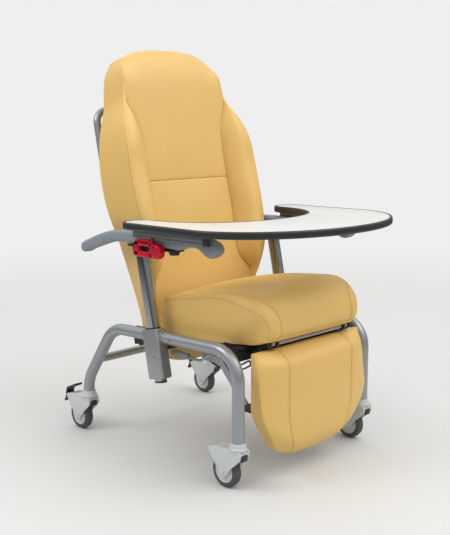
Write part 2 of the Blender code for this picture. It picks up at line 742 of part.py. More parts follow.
def back_hinges():
    """Plates on the side tubes, each with the pin that the backrest turns on."""
    y, z = BACK_HINGE
    for side, sign in sides():
        x_low, x_high = ordered(sign, *BACK_BRACKET_X)
        outline = [(y + 0.020, z + 0.046), (y - 0.020, z + 0.046), *arc((y, z), 0.018, 180.0, 360.0, 8)]
        bracket = piece(f"back_hinge_bracket_{side}", side_plate([outline], x_low, x_high), BLACK_STEEL)
        inner_end = sign * (CHEEK_X[0] - 0.001)
        outer_end = sign * (BACK_BRACKET_X[0] + 0.002)
        join(bracket, pin(inner_end, outer_end, BACK_HINGE, BACK_PIN_R))


# Gas spring
def spring_end():
    """Middle of the rod's eye at rest: near the crank's pin, which has play in the eye."""
    v, u = SPRING_CRANK
    return (BACK_HINGE[0] + v * math.cos(LEAN) + u * math.sin(LEAN) + SPRING_EYE_OFFSET[0],
            BACK_HINGE[1] - v * math.sin(LEAN) + u * math.cos(LEAN) + SPRING_EYE_OFFSET[1])


def gas_spring():
    front = Vector(SPRING_FRONT)
    reach = Vector(spring_end()) - front
    turn = math.atan2(reach.y, reach.x)
    axis = axis_frame("spring_axis", (SPRING_X, *SPRING_FRONT), CHAIR, turn)
    body = piece("gas_spring_cylinder", rod((0, 0.010, 0), (0, SPRING_BODY_LENGTH, 0), SPRING_BODY_R),
                 BLACK_STEEL, axis, smooth=True)
    join(body, pin(-0.0105, 0.0105, (0.0, 0.0), 0.0115, 16))
    cut(body, pin(-0.02, 0.02, (0.0, 0.0), SMALL_PIN_R + GAP, 12))
    cut(body, rod((0, SPRING_BODY_LENGTH - SPRING_BORE_DEPTH, 0), (0, SPRING_BODY_LENGTH + 0.01, 0),
                  SPRING_ROD_R + RUNNING_GAP))
    inside = SPRING_BODY_LENGTH - SPRING_ROD_INSIDE
    outside = reach.length - SPRING_EYE_R + 0.003
    shaft = piece("gas_spring_rod", rod((0, inside, 0), (0, outside, 0), SPRING_ROD_R),
                  CHROME, axis, smooth=True)
    ring = eye((reach.length, 0.0), SPRING_EYE_R, SPRING_EYE_HOLE_R)
    join(shaft, side_plate(ring, -0.005, 0.005))


# Legrest
def leg_half_width(u):
    if u >= LEG_STRAIGHT:
        return LEG_HALF_WIDTH
    share = (LEG_STRAIGHT - u) / (LEG_STRAIGHT - LEG_BOTTOM_U)
    return LEG_HALF_WIDTH * max(0.0, 1.0 - share ** LEG_ROUND_POWER) ** (1.0 / LEG_ROUND_POWER)


def leg_section(u):
    """Ring of the legrest cushion at one height: a flat rear and a crowned front."""
    half = max(leg_half_width(u), 0.03)
    front = between(((LEG_BOTTOM_U, -0.014), (-0.345, -0.036), (-0.24, LEG_FRONT),
                     (-0.08, LEG_FRONT + 0.004), (-0.028, -0.030), (LEG_TOP, -0.010)), u)
    corner = min(0.02, half * 0.4)
    ring = [(-half + corner, LEG_REAR), (0.0, LEG_REAR), (half - corner, LEG_REAR)]
    ring += [(half - 0.003, LEG_REAR - 0.005), (half - 0.004, (LEG_REAR + front) / 2.0 + 0.004)]
    ring += [(half - corner * 0.3, front + 0.026)]
    for share in (0.92, 0.75, 0.5, 0.25, 0.0, -0.25, -0.5, -0.75, -0.92):
        ring.append((half * share, front + 0.018 * share ** 4))
    ring += [(-half + corner * 0.3, front + 0.026), (-half + 0.004, (LEG_REAR + front) / 2.0 + 0.004)]
    ring += [(-half + 0.003, LEG_REAR - 0.005)]
    return [Vector((x, v, u)) for x, v in ring]


def legrest():
    axis = axis_frame("legrest_axis", (0.0, *LEG_HINGE), CHAIR)
    stations = (LEG_BOTTOM_U, -0.3665, -0.362, -0.354, -0.342, -0.325, -0.30, -0.265, -0.22, -0.17, -0.08,
                -0.045, -0.028, LEG_TOP)
    piece("legrest_cushion", loft([leg_section(u) for u in stations]), VINYL, axis, smooth=True)
    board_front = LEG_REAR + GAP
    board_rear = board_front + LEG_BOARD
    heights = [LEG_TOP - 0.003, LEG_STRAIGHT] + [LEG_STRAIGHT - 0.178 * step / 8 for step in range(1, 9)]
    right = [(leg_half_width(u) - 0.006, u) for u in heights]
    outline = right + [(-x, u) for x, u in reversed(right)]
    piece("legrest_board", back_plate([outline], board_front, board_rear), VINYL, axis)
    steel = board_rear + GAP
    bar_low = (STAY_X[0] - 0.007, steel, -0.215)
    bar_high = (LEG_ARM_X + 0.015, steel + LEG_BAR, -0.185)
    frame = piece("legrest_frame", box(bar_low, bar_high), BLACK_STEEL, axis)
    for side, sign in sides():
        x = sign * LEG_ARM_X
        join(frame, box((x - 0.015, steel, -0.290), (x + 0.015, steel + LEG_BAR, 0.0)))
        join(frame, box((x - 0.004, 0.0, -0.0105), (x + 0.004, steel + 0.002, 0.0)))
        join(frame, pin(x - 0.004, x + 0.004, (0.0, 0.0), 0.0112))
        cut(frame, pin(x - 0.02, x + 0.02, (0.0, 0.0), LEG_PIN_R + GAP))
    for x in (STAY_X[0] - 0.005, STAY_X[1] + 0.005):
        ear = [(steel + 0.001, -0.187), (steel + 0.001, -0.213), *arc(STAY_PIVOT, 0.011, 270.0, 450.0, 6)]
        join(frame, side_plate([ear], x - 0.002, x + 0.002))
    join(frame, pin(STAY_X[0] - 0.007, STAY_X[1] + 0.007, STAY_PIVOT, SMALL_PIN_R, 12))
    rod_ends = (-0.200, 0.200)
    piece("legrest_hinge_rod", pin(*rod_ends, LEG_HINGE, LEG_PIN_R), CHROME, smooth=True)


def stay_pin_place(angle):
    """Where the stay's upper pin is, in the chair's frame, with the legrest raised by an angle."""
    v, u = STAY_PIVOT
    foot = Vector((v * math.cos(angle) + u * math.sin(angle), u * math.cos(angle) - v * math.sin(angle)))
    bearing = STAY_REST_ANGLE - angle - STAY_RATIO * angle
    reach = Vector((math.cos(bearing), math.sin(bearing))) * STAY_LENGTH
    return Vector(LEG_HINGE) + foot + reach


def legrest_stay():
    """A cranked strut; its upper pin runs in a slotted rail below the seat."""
    v, u = STAY_PIVOT
    foot = (LEG_HINGE[0] + v, LEG_HINGE[1] + u)
    axis = axis_frame("stay_axis", (0.0, *foot), CHAIR)
    head = (STAY_LENGTH * math.cos(STAY_REST_ANGLE), STAY_LENGTH * math.sin(STAY_REST_ANGLE))
    line = strip([(0.0, 0.0), STAY_KNEE, head], STAY_WIDTH)
    foot_hole = circle((0.0, 0.0), SMALL_PIN_R + GAP, 12)
    strut = piece("legrest_stay", side_plate([line, foot_hole], *STAY_X), PAINT, axis)
    join(strut, pin(STAY_X[1] - 0.002, STAY_RAIL_X[1] + 0.003, head, SMALL_PIN_R, 12))
    steps = 10
    route = [stay_pin_place(LEGREST_MAX * step / steps) for step in range(steps + 1)]
    band = strip(route, STAY_RAIL_WIDTH)
    slot = strip(route, 2 * SMALL_PIN_R + 0.002)
    rail = piece("stay_rail", side_plate([band], *STAY_RAIL_X), BLACK_STEEL)
    for y in STAY_RAIL_TABS:
        top = SEAT_BOTTOM_AT_REAR + (SEAT_REAR_Y - y) * math.tan(SEAT_TILT) - SEAT_BOARD - 4 * GAP
        join(rail, box((STAY_RAIL_X[0], y - 0.012, 0.345), (STAY_RAIL_X[1], y + 0.012, top)))
    cut(rail, side_plate([slot], STAY_RAIL_X[0] - 0.005, STAY_RAIL_X[1] + 0.005))


# Release lever
def release_lever():
    y, z = LEVER_PIVOT
    axis = axis_frame("lever_axis", (0.0, y, z), CHAIR)
    start = LEVER_X + 0.024 - GAP
    grip_front = LEVER_GRIP_Y[0] - y
    grip_rear = LEVER_GRIP_Y[1] - y
    drop = LEVER_GRIP_Z - z
    route = rounded_path([(start, 0.0, 0.0), (LEVER_X, 0.0, 0.0), (LEVER_X, 0.045, drop - 0.004),
                          (LEVER_X, grip_front - GAP, drop)], [0.012, 0.03], 5)
    piece("release_lever_rod", tube(route, LEVER_ROD_R, 10), CHROME, axis, smooth=True)
    grip = tube([(LEVER_X, grip_front, drop), (LEVER_X, grip_rear, drop + 0.003)], LEVER_GRIP_R, 12)
    step = piece("release_lever_grip", grip, GREY_FOAM, axis, smooth=True).modifiers.new("Bevel", "BEVEL")
    step.width = 0.004
    step.segments = 2


# Armrests
def pad_outline():
    top = [(0.345, 0.680), (0.300, 0.699), (0.235, 0.722), (0.187, 0.734), (0.120, 0.741),
           (-0.150, 0.744)]
    nose = [(-0.262, 0.7465), (-0.288, 0.742), (-0.303, 0.731), (-0.306, 0.716), (-0.300, 0.702)]
    below = [(-0.285, 0.693), (-0.266, 0.692), (-0.251, 0.700), (-0.236, 0.711), (-0.212, 0.716),
             (-0.178, 0.713), (-0.135, PAD_UNDERSIDE), (0.154, PAD_UNDERSIDE), (0.200, 0.692),
             (0.335, 0.649)]
    return top + nose + below


def pad_mesh(sign):
    """The pad as rings across its width, drawn in at both sides to round its edges."""
    rings = []
    width = PAD_OUTER_X - PAD_INNER_X
    for across, inset in ((0.0, 0.007), (0.003, 0.002), (0.010, 0.0),
                          (width - 0.010, 0.0), (width - 0.003, 0.002), (width, 0.007)):
        x = sign * (PAD_INNER_X + across)
        rings.append([Vector((x, y, z)) for y, z in drawn_in(pad_outline(), -inset)])
    return loft(rings)


def armrests():
    for side, sign in sides():
        axis = post_frame(f"armrest_axis_{side}", sign)
        oval = rounded_rectangle(*POST_SIZE, 0.012)
        hollow = rounded_rectangle(POST_SIZE[0] - 2 * POST_WALL, POST_SIZE[1] - 2 * POST_WALL, 0.010)
        post = level_plate([oval, hollow], POST_BOTTOM, POST_TOP)
        piece(f"arm_post_{side}", post, CHROME, axis, smooth=True)
        flange = level_plate([oval], POST_BOTTOM - PLUG_DEPTH * 0.5, POST_BOTTOM - GAP)
        plug = piece(f"post_plug_{side}", flange, BLACK_PLASTIC, axis)
        inside = [size - 2 * POST_WALL - 2 * GAP for size in POST_SIZE]
        spigot = rounded_rectangle(*inside, 0.0095)
        join(plug, level_plate([spigot], POST_BOTTOM - PLUG_DEPTH * 0.4, POST_BOTTOM + 0.02))
        x_low, x_high = ordered(sign, ARM_PLATE_X[0], ARM_PLATE_X[1])
        plate_top = PAD_UNDERSIDE - GAP
        bracket = piece(f"arm_bracket_{side}", box((x_low, ARM_PLATE_Y[0], plate_top - ARM_PLATE),
                                                   (x_high, ARM_PLATE_Y[1], plate_top)), BLACK_STEEL)
        room = rounded_rectangle(POST_SIZE[0] + 2 * GAP, POST_SIZE[1] + 2 * GAP, 0.0122)
        outer = rounded_rectangle(*COLLAR_SIZE, 0.012)
        join(bracket, to_chair(level_plate([outer, room], COLLAR_BOTTOM, POST_TOP + 0.02), sign))
        cut(bracket, box((x_low - 0.02, -0.2, plate_top), (x_high + 0.02, 0.2, plate_top + 0.05)))
        knob_low = (sign * POST_X, KNOB_Y, plate_top - 0.018)
        knob_high = (sign * POST_X, KNOB_Y, plate_top - 0.002)
        join(bracket, rod(knob_low, knob_high, KNOB_R * 0.8, 16, KNOB_R))
        piece(f"arm_pad_{side}", pad_mesh(sign), GREY_FOAM, smooth=True)
        clamps(side, sign)


def rail_underside(y):
    """Height of the underside of the tray's rails at one depth of the chair."""
    drop = PANEL_TOP_DROP + PANEL_THICKNESS + GAP + RAIL_HEIGHT
    return TRAY_TOP - drop / math.cos(TRAY_TILT) - y * math.tan(TRAY_TILT)


def clamps(side, sign):
    """The red clamp below a tray rail: a window block with a shoe that carries the rail, and
    a turning cam drum with its tab."""
    inner = PAD_OUTER_X + GAP * 3
    outer = RAIL_X[1]
    x_low, x_high = ordered(sign, inner, outer)
    y_low, y_high = CLAMP_Y
    z_low, z_high = CLAMP_Z
    window = [(y_low + 0.012, z_low + 0.017), (y_high - 0.020, z_low + 0.017),
              (y_high - 0.020, z_high - 0.015), (y_low + 0.012, z_high - 0.015)]
    outline = [(y_low, z_low), (y_high, z_low + 0.005), (y_high, z_high)]
    shoe = [(CLAMP_SHOE_Y[1] + 0.004, z_high), (CLAMP_SHOE_Y[1], rail_underside(CLAMP_SHOE_Y[1]) - GAP),
            (CLAMP_SHOE_Y[0], rail_underside(CLAMP_SHOE_Y[0]) - GAP), (CLAMP_SHOE_Y[0] - 0.004, z_high)]
    outline += shoe + [(y_low, z_high)]
    piece(f"tray_clamp_{side}", side_plate([outline, window], x_low, x_high), RED_PLASTIC)
    y, z = CLAMP_DRUM_YZ
    axis = axis_frame(f"clamp_axis_{side}", (0.0, y, z), CHAIR)
    barrel = pin(x_low, x_high, (0.0, 0.0), CLAMP_DRUM_R, 20)
    drum = piece(f"tray_clamp_lever_{side}", barrel, RED_PLASTIC, axis)
    tab_low, tab_high = ordered(sign, outer - 0.004, outer + 0.007)
    join(drum, pin(tab_low, tab_high, (0.0, 0.0), CLAMP_DRUM_R - 0.001, 20))
    cheek_low, cheek_high = ordered(sign, outer + 0.001, outer + 0.007)
    tab = strip([(0.010, 0.010), (0.021, 0.038)], 0.010)
    join(drum, side_plate([tab], cheek_low, cheek_high))


# Tray
def tray_outline():
    """Half a D with a body recess, for the left half, from the recess to the front."""
    recess_half = TRAY_HALF_WIDTH - 2 * TRAY_ARM_R
    recess = []
    steps = 10
    for step in range(steps):
        angle = math.pi / 2.0 * step / steps
        x = recess_half * math.sin(angle) ** (2.0 / TRAY_RECESS_POWER)
        y = TRAY_ARM_Y - TRAY_RECESS_DEPTH * math.cos(angle) ** (2.0 / TRAY_RECESS_POWER)
        recess.append((x, y))
    tip = arc((TRAY_HALF_WIDTH - TRAY_ARM_R, TRAY_ARM_Y), TRAY_ARM_R, 180.0, 0.0, 10)
    front = []
    for step in range(1, 13):
        angle = math.pi / 2.0 * step / 12
        front.append((TRAY_HALF_WIDTH * math.cos(angle),
                      TRAY_FRONT_CENTRE_Y - TRAY_FRONT_DEPTH * math.sin(angle)))
    front.insert(0, (TRAY_HALF_WIDTH, TRAY_FRONT_CENTRE_Y))
    half = recess + tip + front
    return half + [(-x, y) for x, y in reversed(half[1:-1])]


def drawn_in(outline, inset):
    """The outline moved inwards by an even inset; the outline runs clockwise."""
    moved_points = []
    count = len(outline)
    for index, point in enumerate(outline):
        before = Vector(outline[index - 1])
        after = Vector(outline[(index + 1) % count])
        here = Vector(point)
        into = (here - before).normalized()
        out = (after - here).normalized()
        along = (into + out).normalized()
        inward = Vector((along.y, -along.x))
        stretch = 1.0 / max(0.5, math.cos(into.angle(out) / 2.0))
        moved_points.append(tuple(here + inward * inset * stretch))
    return moved_points


def tray():
    """Everything of the tray lies in its own plane, a little higher at the front."""
    plane = axis_frame("tray_plane", (0.0, 0.0, TRAY_TOP), CHAIR, -TRAY_TILT)
    outline = tray_outline()
    inner = drawn_in(outline, TRAY_EDGE_WIDTH)
    piece("tray_edging", level_plate([outline, inner], -TRAY_EDGE_HEIGHT, 0.0), BLACK_PLASTIC, plane)
    panel_top = -PANEL_TOP_DROP
    panel_low = panel_top - PANEL_THICKNESS
    panel = drawn_in(outline, TRAY_EDGE_WIDTH + GAP)
    piece("tray_panel", level_plate([panel], panel_low, panel_top), LAMINATE, plane)
    rail_top = panel_low - GAP
    rail_low = rail_top - RAIL_HEIGHT
    for side, sign in sides():
        x_low, x_high = ordered(sign, *RAIL_X)
        rail = box((x_low, RAIL_Y[0], rail_low), (x_high, RAIL_Y[1], rail_top), 0.001)
        piece(f"tray_rail_{side}", rail, ALUMINIUM, plane)
        cap = box((x_low - 0.001, RAIL_Y[0] - RAIL_CAP_LENGTH, rail_low - 0.001),
                  (x_high + 0.001, RAIL_Y[0] - GAP, rail_top), 0.002)
        piece(f"tray_rail_cap_{side}", cap, BLACK_PLASTIC, plane)


# Casters
def fork_outline():
    """Side view of a fork behind its stem, as (y, z) from the stem's foot."""
    axle = (TRAIL, WHEEL_R)
    nose = [(-0.026, FORK_TOP), (-0.027, 0.108), (-0.018, 0.098)]
    cheek = arc(axle, 0.015, 215.0, 330.0, 6)
    tail = [(0.104, 0.105), (0.108, 0.112), (0.102, 0.119), (0.070, 0.1255), (0.050, FORK_TOP)]
    return nose + cheek + tail


def wheel_profile(radius, half_width, inner):
    return [(inner, half_width), (radius - 0.006, half_width), (radius, half_width - 0.006),
            (radius, -half_width + 0.006), (radius - 0.006, -half_width), (inner, -half_width)]


def sideways(mesh):
    """Lay a shape turned about Z on its side, so that it turns about X."""
    return moved(mesh, lambda p: Vector((p.z, p.x, p.y)))


def caster(name, x, y, braked):
    stem = axis_frame(f"{name}_caster_axis", (x, y, 0.0), CHAIR)
    half = FORK_WIDTH / 2.0
    fork = piece(f"{name}_caster_fork", side_plate([fork_outline()], -half, half), CASTER_PLASTIC, stem)
    axle = (TRAIL, WHEEL_R)
    slot = FORK_SLOT / 2.0
    cut(fork, pin(-slot, slot, axle, FORK_SLOT_R, 24))
    cut(fork, box((-slot, -0.06, -0.02), (slot, TRAIL + 0.02, WHEEL_R + 0.02)))
    join(fork, rod((0, 0, FORK_TOP - 0.008), (0, 0, LEG_BOTTOM - GAP), COLLAR_R, 16))
    stem_top = LEG_BOTTOM + STEM_LENGTH - 0.002
    join(fork, rod((0, 0, LEG_BOTTOM - 0.004), (0, 0, stem_top), STEM_R - GAP, 12))
    cut(fork, pin(-0.03, 0.03, axle, AXLE_R + 2 * GAP, 12))
    wheel = axis_frame(f"{name}_wheel_axis", (0.0, *axle), stem)
    flat = 180.0 / WHEEL_SIDES
    outer_r = WHEEL_R / math.cos(math.radians(flat))
    tyre = turned(wheel_profile(outer_r, TYRE_WIDTH / 2.0, HUB_R), WHEEL_SIDES, flat - 90.0)
    piece(f"{name}_caster_tyre", sideways(tyre), TYRE_RUBBER, wheel, smooth=True)
    hub_half = TYRE_WIDTH / 2.0 - 0.001
    hub_r = HUB_R * math.cos(math.radians(flat)) - GAP
    profile = [(0.0, half + 0.001), (AXLE_R, half + 0.001), (AXLE_R, hub_half - 0.004), (0.012, hub_half),
               (hub_r, hub_half - 0.002), (hub_r, -hub_half + 0.002), (0.012, -hub_half),
               (AXLE_R, -hub_half + 0.004), (AXLE_R, -half - 0.001), (0.0, -half - 0.001)]
    hub = sideways(turned(profile, HUB_SIDES))
    piece(f"{name}_caster_hub", hub, CASTER_PLASTIC, wheel, smooth=True)
    if braked:
        brake_pedal(name, stem, fork)


def brake_pedal(name, stem, fork):
    """A rocker at the rear of a fork: a foot plate above and a release tail behind."""
    y, z = PEDAL_PIVOT
    slot_half = 0.0055
    slot_low = (-slot_half, y - 0.010, FORK_SLOT_R + WHEEL_R + 0.001)
    slot_high = (slot_half, y + 0.03, FORK_TOP + 0.01)
    cut(fork, box(slot_low, slot_high))
    axis = axis_frame(f"{name}_pedal_axis", (0.0, y, z), stem)
    half = PEDAL_WIDTH / 2.0
    line = [(0.034, -0.029), (0.0245, -0.014), (0.0235, 0.005), (0.018, 0.020), (-0.028, 0.040)]
    rocker = side_plate([strip(line, 0.008)], -half, half)
    pedal = piece(f"{name}_brake_pedal", rocker, BLACK_PLASTIC, axis)
    join(pedal, side_plate([strip([(0.0, 0.0), (0.022, 0.0)], 0.010)], -0.004, 0.004))


def casters():
    for end, y, braked in (("front", -STEM_Y, False), ("rear", STEM_Y, True)):
        for side, sign in sides():
            caster(f"{end}_{side}", sign * STEM_X, y, braked)


def build():
    side_frames()
    seat()
    back_hinges()
    backrest()
    gas_spring()
    legrest()
    legrest_stay()
    release_lever()
    armrests()
    tray()
    casters()


build()
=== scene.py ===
"""Looks of the patient recliner: upholstery, painted tube, chrome, plastics and the stage."""
import json
import math

import bmesh
import bpy
import numpy as np
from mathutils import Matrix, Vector

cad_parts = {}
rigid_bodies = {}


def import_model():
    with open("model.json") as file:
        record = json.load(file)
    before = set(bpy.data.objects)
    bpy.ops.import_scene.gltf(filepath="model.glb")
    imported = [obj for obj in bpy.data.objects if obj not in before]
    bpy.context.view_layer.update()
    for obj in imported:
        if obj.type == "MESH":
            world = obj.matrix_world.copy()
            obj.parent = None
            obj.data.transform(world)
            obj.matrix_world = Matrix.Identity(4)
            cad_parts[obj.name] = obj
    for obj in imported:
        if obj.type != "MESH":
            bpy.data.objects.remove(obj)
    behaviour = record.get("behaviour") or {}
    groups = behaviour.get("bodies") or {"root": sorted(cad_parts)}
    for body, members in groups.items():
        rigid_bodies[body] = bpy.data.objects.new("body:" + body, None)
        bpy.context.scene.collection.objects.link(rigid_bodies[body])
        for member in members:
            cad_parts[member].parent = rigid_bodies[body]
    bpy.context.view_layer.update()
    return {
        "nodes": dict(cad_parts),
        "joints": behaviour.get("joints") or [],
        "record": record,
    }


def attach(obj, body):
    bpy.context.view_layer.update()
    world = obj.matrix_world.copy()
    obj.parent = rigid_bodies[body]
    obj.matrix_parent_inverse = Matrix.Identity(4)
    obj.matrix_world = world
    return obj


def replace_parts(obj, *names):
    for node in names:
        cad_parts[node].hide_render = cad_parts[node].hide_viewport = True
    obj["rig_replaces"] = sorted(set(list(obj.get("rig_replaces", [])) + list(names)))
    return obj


bl_info = {
    "name": "Patient recliner",
    "version": (1, 0, 0),
    "blender": (4, 5, 0),
    "location": "View3D > Sidebar > Recliner",
    "description": "Builds the visual pieces of a patient recliner on its CAD frame",
    "category": "Object",
}

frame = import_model()
JOINTS = {joint["name"]: joint for joint in frame["joints"]}
RECLINE_AT = np.array(JOINTS["recline"]["pos_m"])
LEGREST_AT = np.array(JOINTS["legrest_lift"]["pos_m"])
POST_SLIDE = JOINTS["armrest_height_right"]["axis"]
LEAN = math.atan2(POST_SLIDE[1], POST_SLIDE[2])
# The recline hinge stands this far behind the middle of the wheels
RECLINE_Y = 0.105
CHAIR_Y = RECLINE_AT[1] - RECLINE_Y
SIDES = (("right", -1.0), ("left", 1.0))
SIGNS = (-1.0, 1.0)
ENDS = (("front", -1.0), ("rear", 1.0))
SHARP_DEG = 38.0

# Upholstery: share of the half width that the inner seam column takes, and the groove of a seam
SEAM_SHARE = 0.7
SEAM_NEAR = (0.009, 0.028)
GROOVE = 0.0028
GUSSET_RINGS = (0.018, 0.06, 0.2, 0.4, 0.6, 0.8, 0.94)
STITCH_STEP = 0.0062
STITCH_LIFT = 0.0002
STITCH_R = 0.00042
STITCH_SHARE = 0.36
CUSHION_COLUMNS = 37

# Cloth of the covers while air fills them
COVER_FRAMES = 20
COVER_CLOTH = {"quality": 6, "mass": 0.3, "tension_stiffness": 25.0, "compression_stiffness": 25.0,
               "shear_stiffness": 10.0, "bending_stiffness": 1.0, "use_pressure": True,
               "vertex_group_mass": "held"}

# Backrest tables, by height along the back: half widths, seams and the wings' height
BACK_LOW = -0.078
BACK_HIGH = 0.935
BACK_FACE = -0.043
BACK_REAR = 0.0787
LUMBAR_SEAM = 0.515
BACK_WIDTHS = ((-0.100, 0.190), (-0.060, 0.204), (0.08, 0.224), (0.25, 0.272), (0.36, 0.285),
               (0.54, 0.293), (0.64, 0.288), (0.70, 0.275), (0.785, 0.239), (0.86, 0.226),
               (0.905, 0.211), (0.938, 0.186))
BACK_REAR_WIDTHS = ((-0.100, 0.184), (-0.060, 0.198), (0.10, 0.212), (0.24, 0.237), (0.32, 0.253),
                    (0.46, 0.287), (0.54, 0.291), (0.64, 0.282), (0.70, 0.267), (0.785, 0.235),
                    (0.86, 0.222), (0.905, 0.206), (0.938, 0.180))
BACK_EDGE_SEAM = ((-0.10, -0.020), (0.02, -0.030), (0.11, -0.040), (0.165, -0.066), (0.25, -0.098),
                  (0.385, -0.104), (0.48, -0.097), (0.56, -0.093), (0.64, -0.090), (0.72, -0.070),
                  (0.78, -0.037), (0.82, -0.036), (0.868, -0.040), (0.938, -0.034))
WING_SEAM = ((-0.10, 0.184), (0.06, 0.212), (0.12, 0.226), (0.175, 0.238), (0.195, 0.222), (0.22, 0.196),
             (0.25, 0.182), (0.28, 0.180), (0.38, 0.188), (0.50, 0.184), (0.62, 0.184), (0.70, 0.192),
             (0.74, 0.207), (0.765, 0.222), (0.785, 0.228), (0.86, 0.212), (0.938, 0.172))
WING_SEAM_SPAN = (0.178, 0.782)
WING_CREST = ((-0.10, 0.0), (0.11, 0.0), (0.165, 0.030), (0.27, 0.073), (0.385, 0.073), (0.48, 0.066),
              (0.56, 0.059), (0.66, 0.056), (0.72, 0.040), (0.75, 0.028), (0.775, 0.010), (0.80, 0.0),
              (0.95, 0.0))
HEAD_TOP = ((0.0, 0.969), (0.060, 0.968), (0.100, 0.965), (0.152, 0.954), (0.189, 0.935))

# Seat table, by share of the way from the rear over the top and down the front:
# centre line (y, z), inner seam (x, y, z) and side seam (x, y, z)
SEAT_ROWS = (
    (0.00, 0.045, 0.519, 0.238, 0.030, 0.520, 0.250, 0.020, 0.515),
    (0.15, -0.050, 0.558, 0.238, -0.050, 0.543, 0.249, -0.050, 0.528),
    (0.30, -0.130, 0.576, 0.239, -0.124, 0.554, 0.249, -0.120, 0.5385),
    (0.40, -0.210, 0.589, 0.241, -0.200, 0.565, 0.2485, -0.190, 0.553),
    (0.52, -0.280, 0.590, 0.236, -0.265, 0.574, 0.248, -0.255, 0.5535),
    (0.62, -0.335, 0.585, 0.222, -0.318, 0.575, 0.2455, -0.312, 0.545),
    (0.70, -0.372, 0.569, 0.203, -0.366, 0.564, 0.238, -0.362, 0.5345),
    (0.77, -0.398, 0.541, 0.181, -0.391, 0.541, 0.226, -0.388, 0.520),
    (0.83, -0.412, 0.513, 0.171, -0.408, 0.514, 0.217, -0.400, 0.503),
    (0.89, -0.420, 0.482, 0.170, -0.417, 0.484, 0.213, -0.405, 0.480),
    (0.95, -0.415, 0.459, 0.170, -0.412, 0.460, 0.212, -0.402, 0.460),
    (1.00, -0.402, 0.446, 0.170, -0.400, 0.447, 0.211, -0.393, 0.448),
)
SEAT_SEAM_START = 0.42
SEAT_BOTTOM = 0.4045
SEAT_TILT = math.tan(math.radians(2.2))

# Legrest, in its own frame at its hinge
LEG_TOP = -0.020
LEG_CORNER = -0.330
LEG_HALF = 0.255
LEG_STRAIGHT = -0.180
LEG_BOTTOM = -0.367
LEG_POWER = 2.35
LEG_SEAM_SHARE = 0.6
LEG_FACE = -0.052
LEG_REAR = 0.0275
LEG_EDGE_SEAM = ((-0.368, -0.010), (-0.338, -0.0144), (-0.28, -0.033), (-0.21, -0.035), (-0.14, -0.026),
                 (-0.07, -0.016), (-0.035, -0.004), (-0.016, 0.004))


def linear(code):
    """Linear colour of an sRGB hex value."""
    parts = [int(code[start:start + 2], 16) / 255.0 for start in (1, 3, 5)]
    return tuple(c / 12.92 if c <= 0.04045 else ((c + 0.055) / 1.055) ** 2.4 for c in parts)


def colour_setting(name, code, text):
    """A colour that a user may change."""
    return bpy.props.FloatVectorProperty(name=name, description=text, subtype="COLOR", size=3, min=0.0,
                                         max=1.0, default=linear(code))


class RecliningChairFinish(bpy.types.PropertyGroup):
    """Colours of the chair and the relief of its upholstery."""
    vinyl: colour_setting("Vinyl", "#E2BA6B", "Coated fabric of the upholstery")
    paint: colour_setting("Paint", "#9C9FA2", "Silver powder coat of the tubes")
    foam: colour_setting("Pads", "#858C92", "Skin of the armrest pads and of the lever's grip")
    steel: colour_setting("Black steel", "#1B1C1E", "Powder coat of the hidden steel frames")
    chrome: colour_setting("Chrome", "#A4A6A8", "Chrome of the armrest posts and pins")
    plastic: colour_setting("Black plastic", "#26282A", "Tray edging, caps and bushes")
    red: colour_setting("Red plastic", "#C8052B", "Tray clamps")
    laminate: colour_setting("Laminate", "#D3D3D0", "Top of the tray")
    caster: colour_setting("Casters", "#C4C8C9", "Moulded caster forks and hubs")
    tyre: colour_setting("Tyres", "#4B4C4A", "Rubber of the tyres")
    puff: bpy.props.FloatProperty(name="Pressure", description="Air pressure that fills the cushions",
                                  default=4.0, min=0.0, max=20.0)
    puff_limit: bpy.props.FloatProperty(name="Largest swell", description="Furthest a cushion may swell",
                                        default=0.022, min=0.0, max=0.04, unit="LENGTH")


class RecliningChairStage(bpy.types.PropertyGroup):
    """Floor, light and camera."""
    floor: colour_setting("Floor", "#CFCFCD", "Studio floor")
    key_power: bpy.props.FloatProperty(name="Key light", description="Power of the large soft light",
                                       default=54.0, min=0.0, unit="POWER")
    dome: bpy.props.FloatProperty(name="Dome", description="Strength of the pale surroundings",
                                  default=1.2, min=0.0)
    lens: bpy.props.FloatProperty(name="Lens", description="Focal length of the camera",
                                  default=60.516, min=10.0, max=200.0, unit="CAMERA")


# Materials
def add_node(tree, kind, settings=None, values=None, links=None):
    """A new node with its settings, the values of its sockets and its links."""
    node = tree.nodes.new(kind)
    for key, value in (settings or {}).items():
        setattr(node, key, value)
    for key, value in (values or {}).items():
        node.inputs[key].default_value = value
    for key, source in (links or {}).items():
        tree.links.new(source, node.inputs[key])
    return node


